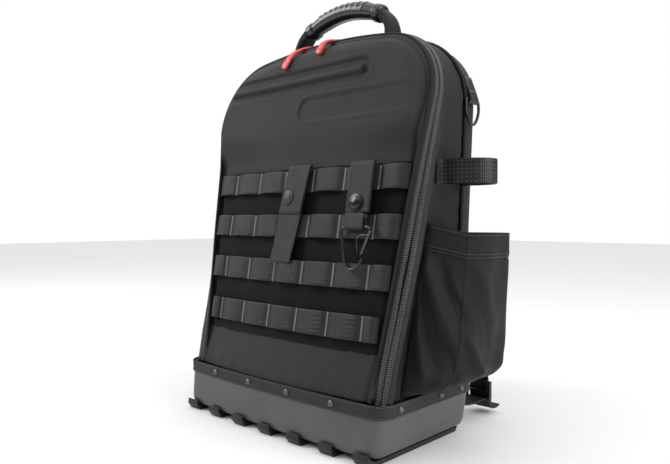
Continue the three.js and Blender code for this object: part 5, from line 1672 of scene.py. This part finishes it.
def inflate(made, voxel, pressure, cap):
    """Swells a closed piece like a stuffed cover, moving no point by more than cap metres."""
    change = made.modifiers.new("remesh", "REMESH")
    change.mode = "VOXEL"
    change.voxel_size = voxel
    graph = bpy.context.evaluated_depsgraph_get()
    made.data = bpy.data.meshes.new_from_object(made.evaluated_get(graph))
    made.modifiers.remove(change)
    before = np.zeros(len(made.data.vertices) * 3)
    made.data.vertices.foreach_get("co", before)
    cloth = made.modifiers.new("cloth", "CLOTH")
    cloth.settings.use_pressure = True
    cloth.settings.uniform_pressure_force = pressure
    cloth.settings.effector_weights.gravity = 0
    cloth.point_cache.frame_start, cloth.point_cache.frame_end = 1, 20
    for step in range(1, 21):
        bpy.context.scene.frame_set(step)
    graph = bpy.context.evaluated_depsgraph_get()
    swollen = made.evaluated_get(graph).to_mesh()
    after = np.zeros(len(before))
    swollen.vertices.foreach_get("co", after)
    made.modifiers.remove(cloth)
    bpy.context.scene.frame_set(1)
    move = (after - before).reshape(-1, 3)
    length = np.linalg.norm(move, axis=1, keepdims=True)
    move *= np.minimum(1, cap / np.maximum(length, 1e-9))
    made.data.vertices.foreach_set("co", (before.reshape(-1, 3) + move).ravel())
    finer = made.modifiers.new("finer", "SUBSURF")
    finer.levels = finer.render_levels = 1
    graph = bpy.context.evaluated_depsgraph_get()
    made.data = bpy.data.meshes.new_from_object(made.evaluated_get(graph))
    made.modifiers.remove(finer)
    made.data.shade_smooth()
    print(made.name, "swelled by up to", round(1000 * float(length.max()), 1), "mm")


def over_pad(pad, centres, ways, rise):
    """Places that lie on the swollen pad: rays are cast at it from outside."""
    mesh = pad.data
    surface = BVHTree.FromPolygons([v.co for v in mesh.vertices],
                                   [p.vertices for p in mesh.polygons])
    places = []
    for centre, way in zip(centres, ways):
        hit = surface.ray_cast(Vector((centre + way * 40) * MM), Vector(-way))[0]
        places.append(np.array(hit) / MM + way * rise)
    places = np.array(places)
    for _ in range(3):
        places[1:-1] = (places[:-2] + 2 * places[1:-1] + places[2:]) / 4
    return places


strap_seam_paths = []
for side, hand in (("left", -1), ("right", 1)):
    stations = np.column_stack([hand * strap_stations[:, 0], strap_stations[:, 1:3],
                                np.zeros(9), np.sin(np.radians(strap_stations[:, 5])),
                                np.cos(np.radians(strap_stations[:, 5])),
                                strap_stations[:, 3], strap_stations[:, 4]])
    run = spline(stations, 130)
    out = unit(run[:, 3:6])
    across = np.tile([1.0, 0, 0], (130, 1))
    end = np.linspace(0, 1, 130)
    slim = 0.86 - 0.1 * hump(end, 0.33, 0.012) - 0.1 * hump(end, 0.66, 0.012)
    pad = sweep(f"shoulder_pad_{side}", run[:, :3], across, out,
                [pad_section(wd * 0.97, th * s, 5.5, 44) for wd, th,
                 s in zip(run[:, 6], run[:, 7], slim)])
    inflate(pad, 0.0045, 4.0, 0.006)
    dress(pad, body_cloth, nodes=(f"shoulder_strap_{side}",))
    edge = []
    for s in (-1, 1):
        edge.append(run[4:126, :3] + across[4:126] * s * run[4:126, 6:7] * 0.5)
    binding_left = tube(f"pad_binding_a_{side}", edge[0][::6], 1.9, 120, 10)
    binding_right = tube(f"pad_binding_b_{side}", edge[1][::6], 1.9, 120, 10)
    binding = join(f"pad_binding_{side}", [binding_left, binding_right])
    dress(binding, smooth_cloth)
    outer = over_pad(pad, run[12:122, :3], out[12:122], 1.3)
    daisy = sweep(f"pad_webbing_{side}", outer, across[12:122], out[12:122],
                  [flat_section(25, 1.5, 8)] * 110)
    dress(daisy, strap_webbing)
    for s in (-10.6, 10.6):
        strap_seam_paths.append((outer + across[12:122] * s + out[12:122] * 0.85, out[12:122]))
    for n in (4, 36, 68, 100):
        line = np.array([outer[n] + across[12] * a + out[12 + n]
                         * 0.95 for a in np.linspace(-11, 11, 10)])
        strap_seam_paths.append((line, out[12 + n]))
dress(repeat("pad_stitches", strap_seam_paths, seam_stitch, 3.3, grey_thread), None)
print("shoulder straps done")

# %% Webbing ends and ladder locks
LOCK_AT = Vector((129, 141.7, 29))
webbing_route = [(93, 133, 149.4, 108), (106, 138.5, 112, 98), (121, 143.4, 72, 94),
                 (128, 145.4, 44, 90), (129, 145.4, 18, 90), (129.5, 147.1, 11.5, 58),
                 (130, 151.7, 7.8, 24), (131, 158.7, 6.8, 0), (132, 165.7, 9, -20)]
low_tab_route = [(122, 90.6, 41, 90), (122, 89.5, 31, 84), (122.4, 93.5, 24.5, 45),
                 (123.5, 102, 20.5, 14), (126, 120, 18.6, 0), (128.5, 138.9, 20.4, -6)]
lock_bars = [((3.6, 4.6, 24), (-15.2, 0, 0)), ((3.6, 4.6, 24), (15.2, 0, 0)),
             ((28, 4.6, 3.4), (0, 0, 10.2)), ((28, 3.4, 3.2), (0, 0.4, 1.5)),
             ((28, 4.6, 3.4), (0, 0, -10.2)), ((24, 1.6, 5.5), (0, 1.6, 5.5))]


def low_band(name, route, hand, thickness, count):
    """A 25 mm band behind the tray: places and the lean of its face, in degrees."""
    run = spline([(hand * x, y, z, lean) for x, y, z, lean in route], count)
    lean = np.radians(run[:, 3])
    out = np.stack([0 * lean, np.sin(lean), np.cos(lean)], 1)
    across = np.tile([1.0, 0, 0], (count, 1))
    return sweep(name, run[:, :3], across, out, [flat_section(25, thickness, 8)] * count)


for side, hand in (("left", -1), ("right", 1)):
    webbing_end = low_band(f"strap_end_{side}", webbing_route, hand, 1.8, 110)
    dress(webbing_end, strap_webbing, nodes=(f"strap_webbing_{side}",))
    low_tab = low_band(f"low_tab_{side}", low_tab_route, hand, 2, 60)
    dress(low_tab, strap_webbing, nodes=(f"lower_tab_{side}",))
    bars = []
    for n, (size, at) in enumerate(lock_bars):
        place = Vector(at) + Vector((hand * LOCK_AT.x, LOCK_AT.y, LOCK_AT.z))
        bars.append(rounded_block(f"lock_bar_{side}_{n}", size, tuple(place), 0, 0.75))
    lock = join(f"ladder_lock_frame_{side}", bars)
    dress(lock, buckle_plastic, nodes=(f"ladder_lock_{side}",))
print("pieces so far:", len(pieces))

# %% [markdown]
# ## Floor and light
# The bag stands on a pale studio floor. A large soft light from the front left and
# above makes the gradient down the tray and the lit loops; a weaker one fills the right.
# The world lights the bag from overhead only, but looks white to the camera.

# %% Studio
floor_mesh = bpy.data.meshes.new("studio_floor")
floor_mesh.from_pydata([(-6, -6, 0), (6, -6, 0), (6, 6, 0), (-6, 6, 0)], [], [(0, 1, 2, 3)])
floor = bpy.data.objects.new("studio_floor", floor_mesh)
bpy.context.scene.collection.objects.link(floor)
floor_finish, w, shader, _ = start_finish("studio_floor", 0.7, specular=0.2)
shader.inputs["Base Color"].default_value = (0.86, 0.86, 0.86, 1)
floor_mesh.materials.append(floor_finish)
floor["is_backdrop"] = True

world = bpy.data.worlds.new("studio")
bpy.context.scene.world = world
world.use_nodes = True
w = Wiring(world.node_tree)
white = world.node_tree.nodes["Background"]
white.inputs["Color"].default_value = (1, 1, 1, 1)
ways = w.node("ShaderNodeSeparateXYZ")
w.plug(w.node("ShaderNodeTexCoord").outputs["Generated"], ways.inputs[0])
overhead = w.fit(ways.outputs[2], 0.4, 0.6, 0.1, 1.25)
seen = w.node("ShaderNodeLightPath").outputs["Is Camera Ray"]
w.plug(w.sum("MAXIMUM", overhead, seen), white.inputs["Strength"])
bpy.context.scene.view_settings.view_transform = "Standard"


def soft_light(name, at, target, size, power):
    data = bpy.data.lights.new(name, "AREA")
    data.shape = "RECTANGLE"
    data.size, data.size_y = size
    data.energy = power
    made = bpy.data.objects.new(name, data)
    made.location = at
    made.rotation_euler = (Vector(target) - Vector(at)).to_track_quat("-Z", "Y").to_euler()
    bpy.context.scene.collection.objects.link(made)


soft_light("left_light", (-1.3, -1.0, 1.25), (0, 0, 0.3), (0.8, 1.0), 19)
soft_light("right_light", (1.6, 0.3, 0.7), (0, 0, 0.1), (0.8, 1.2), 18)

# %% The visual box, and the end
low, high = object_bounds()
print("visual box, mm:", [round(1000 * v) for v in (*low, *high)])
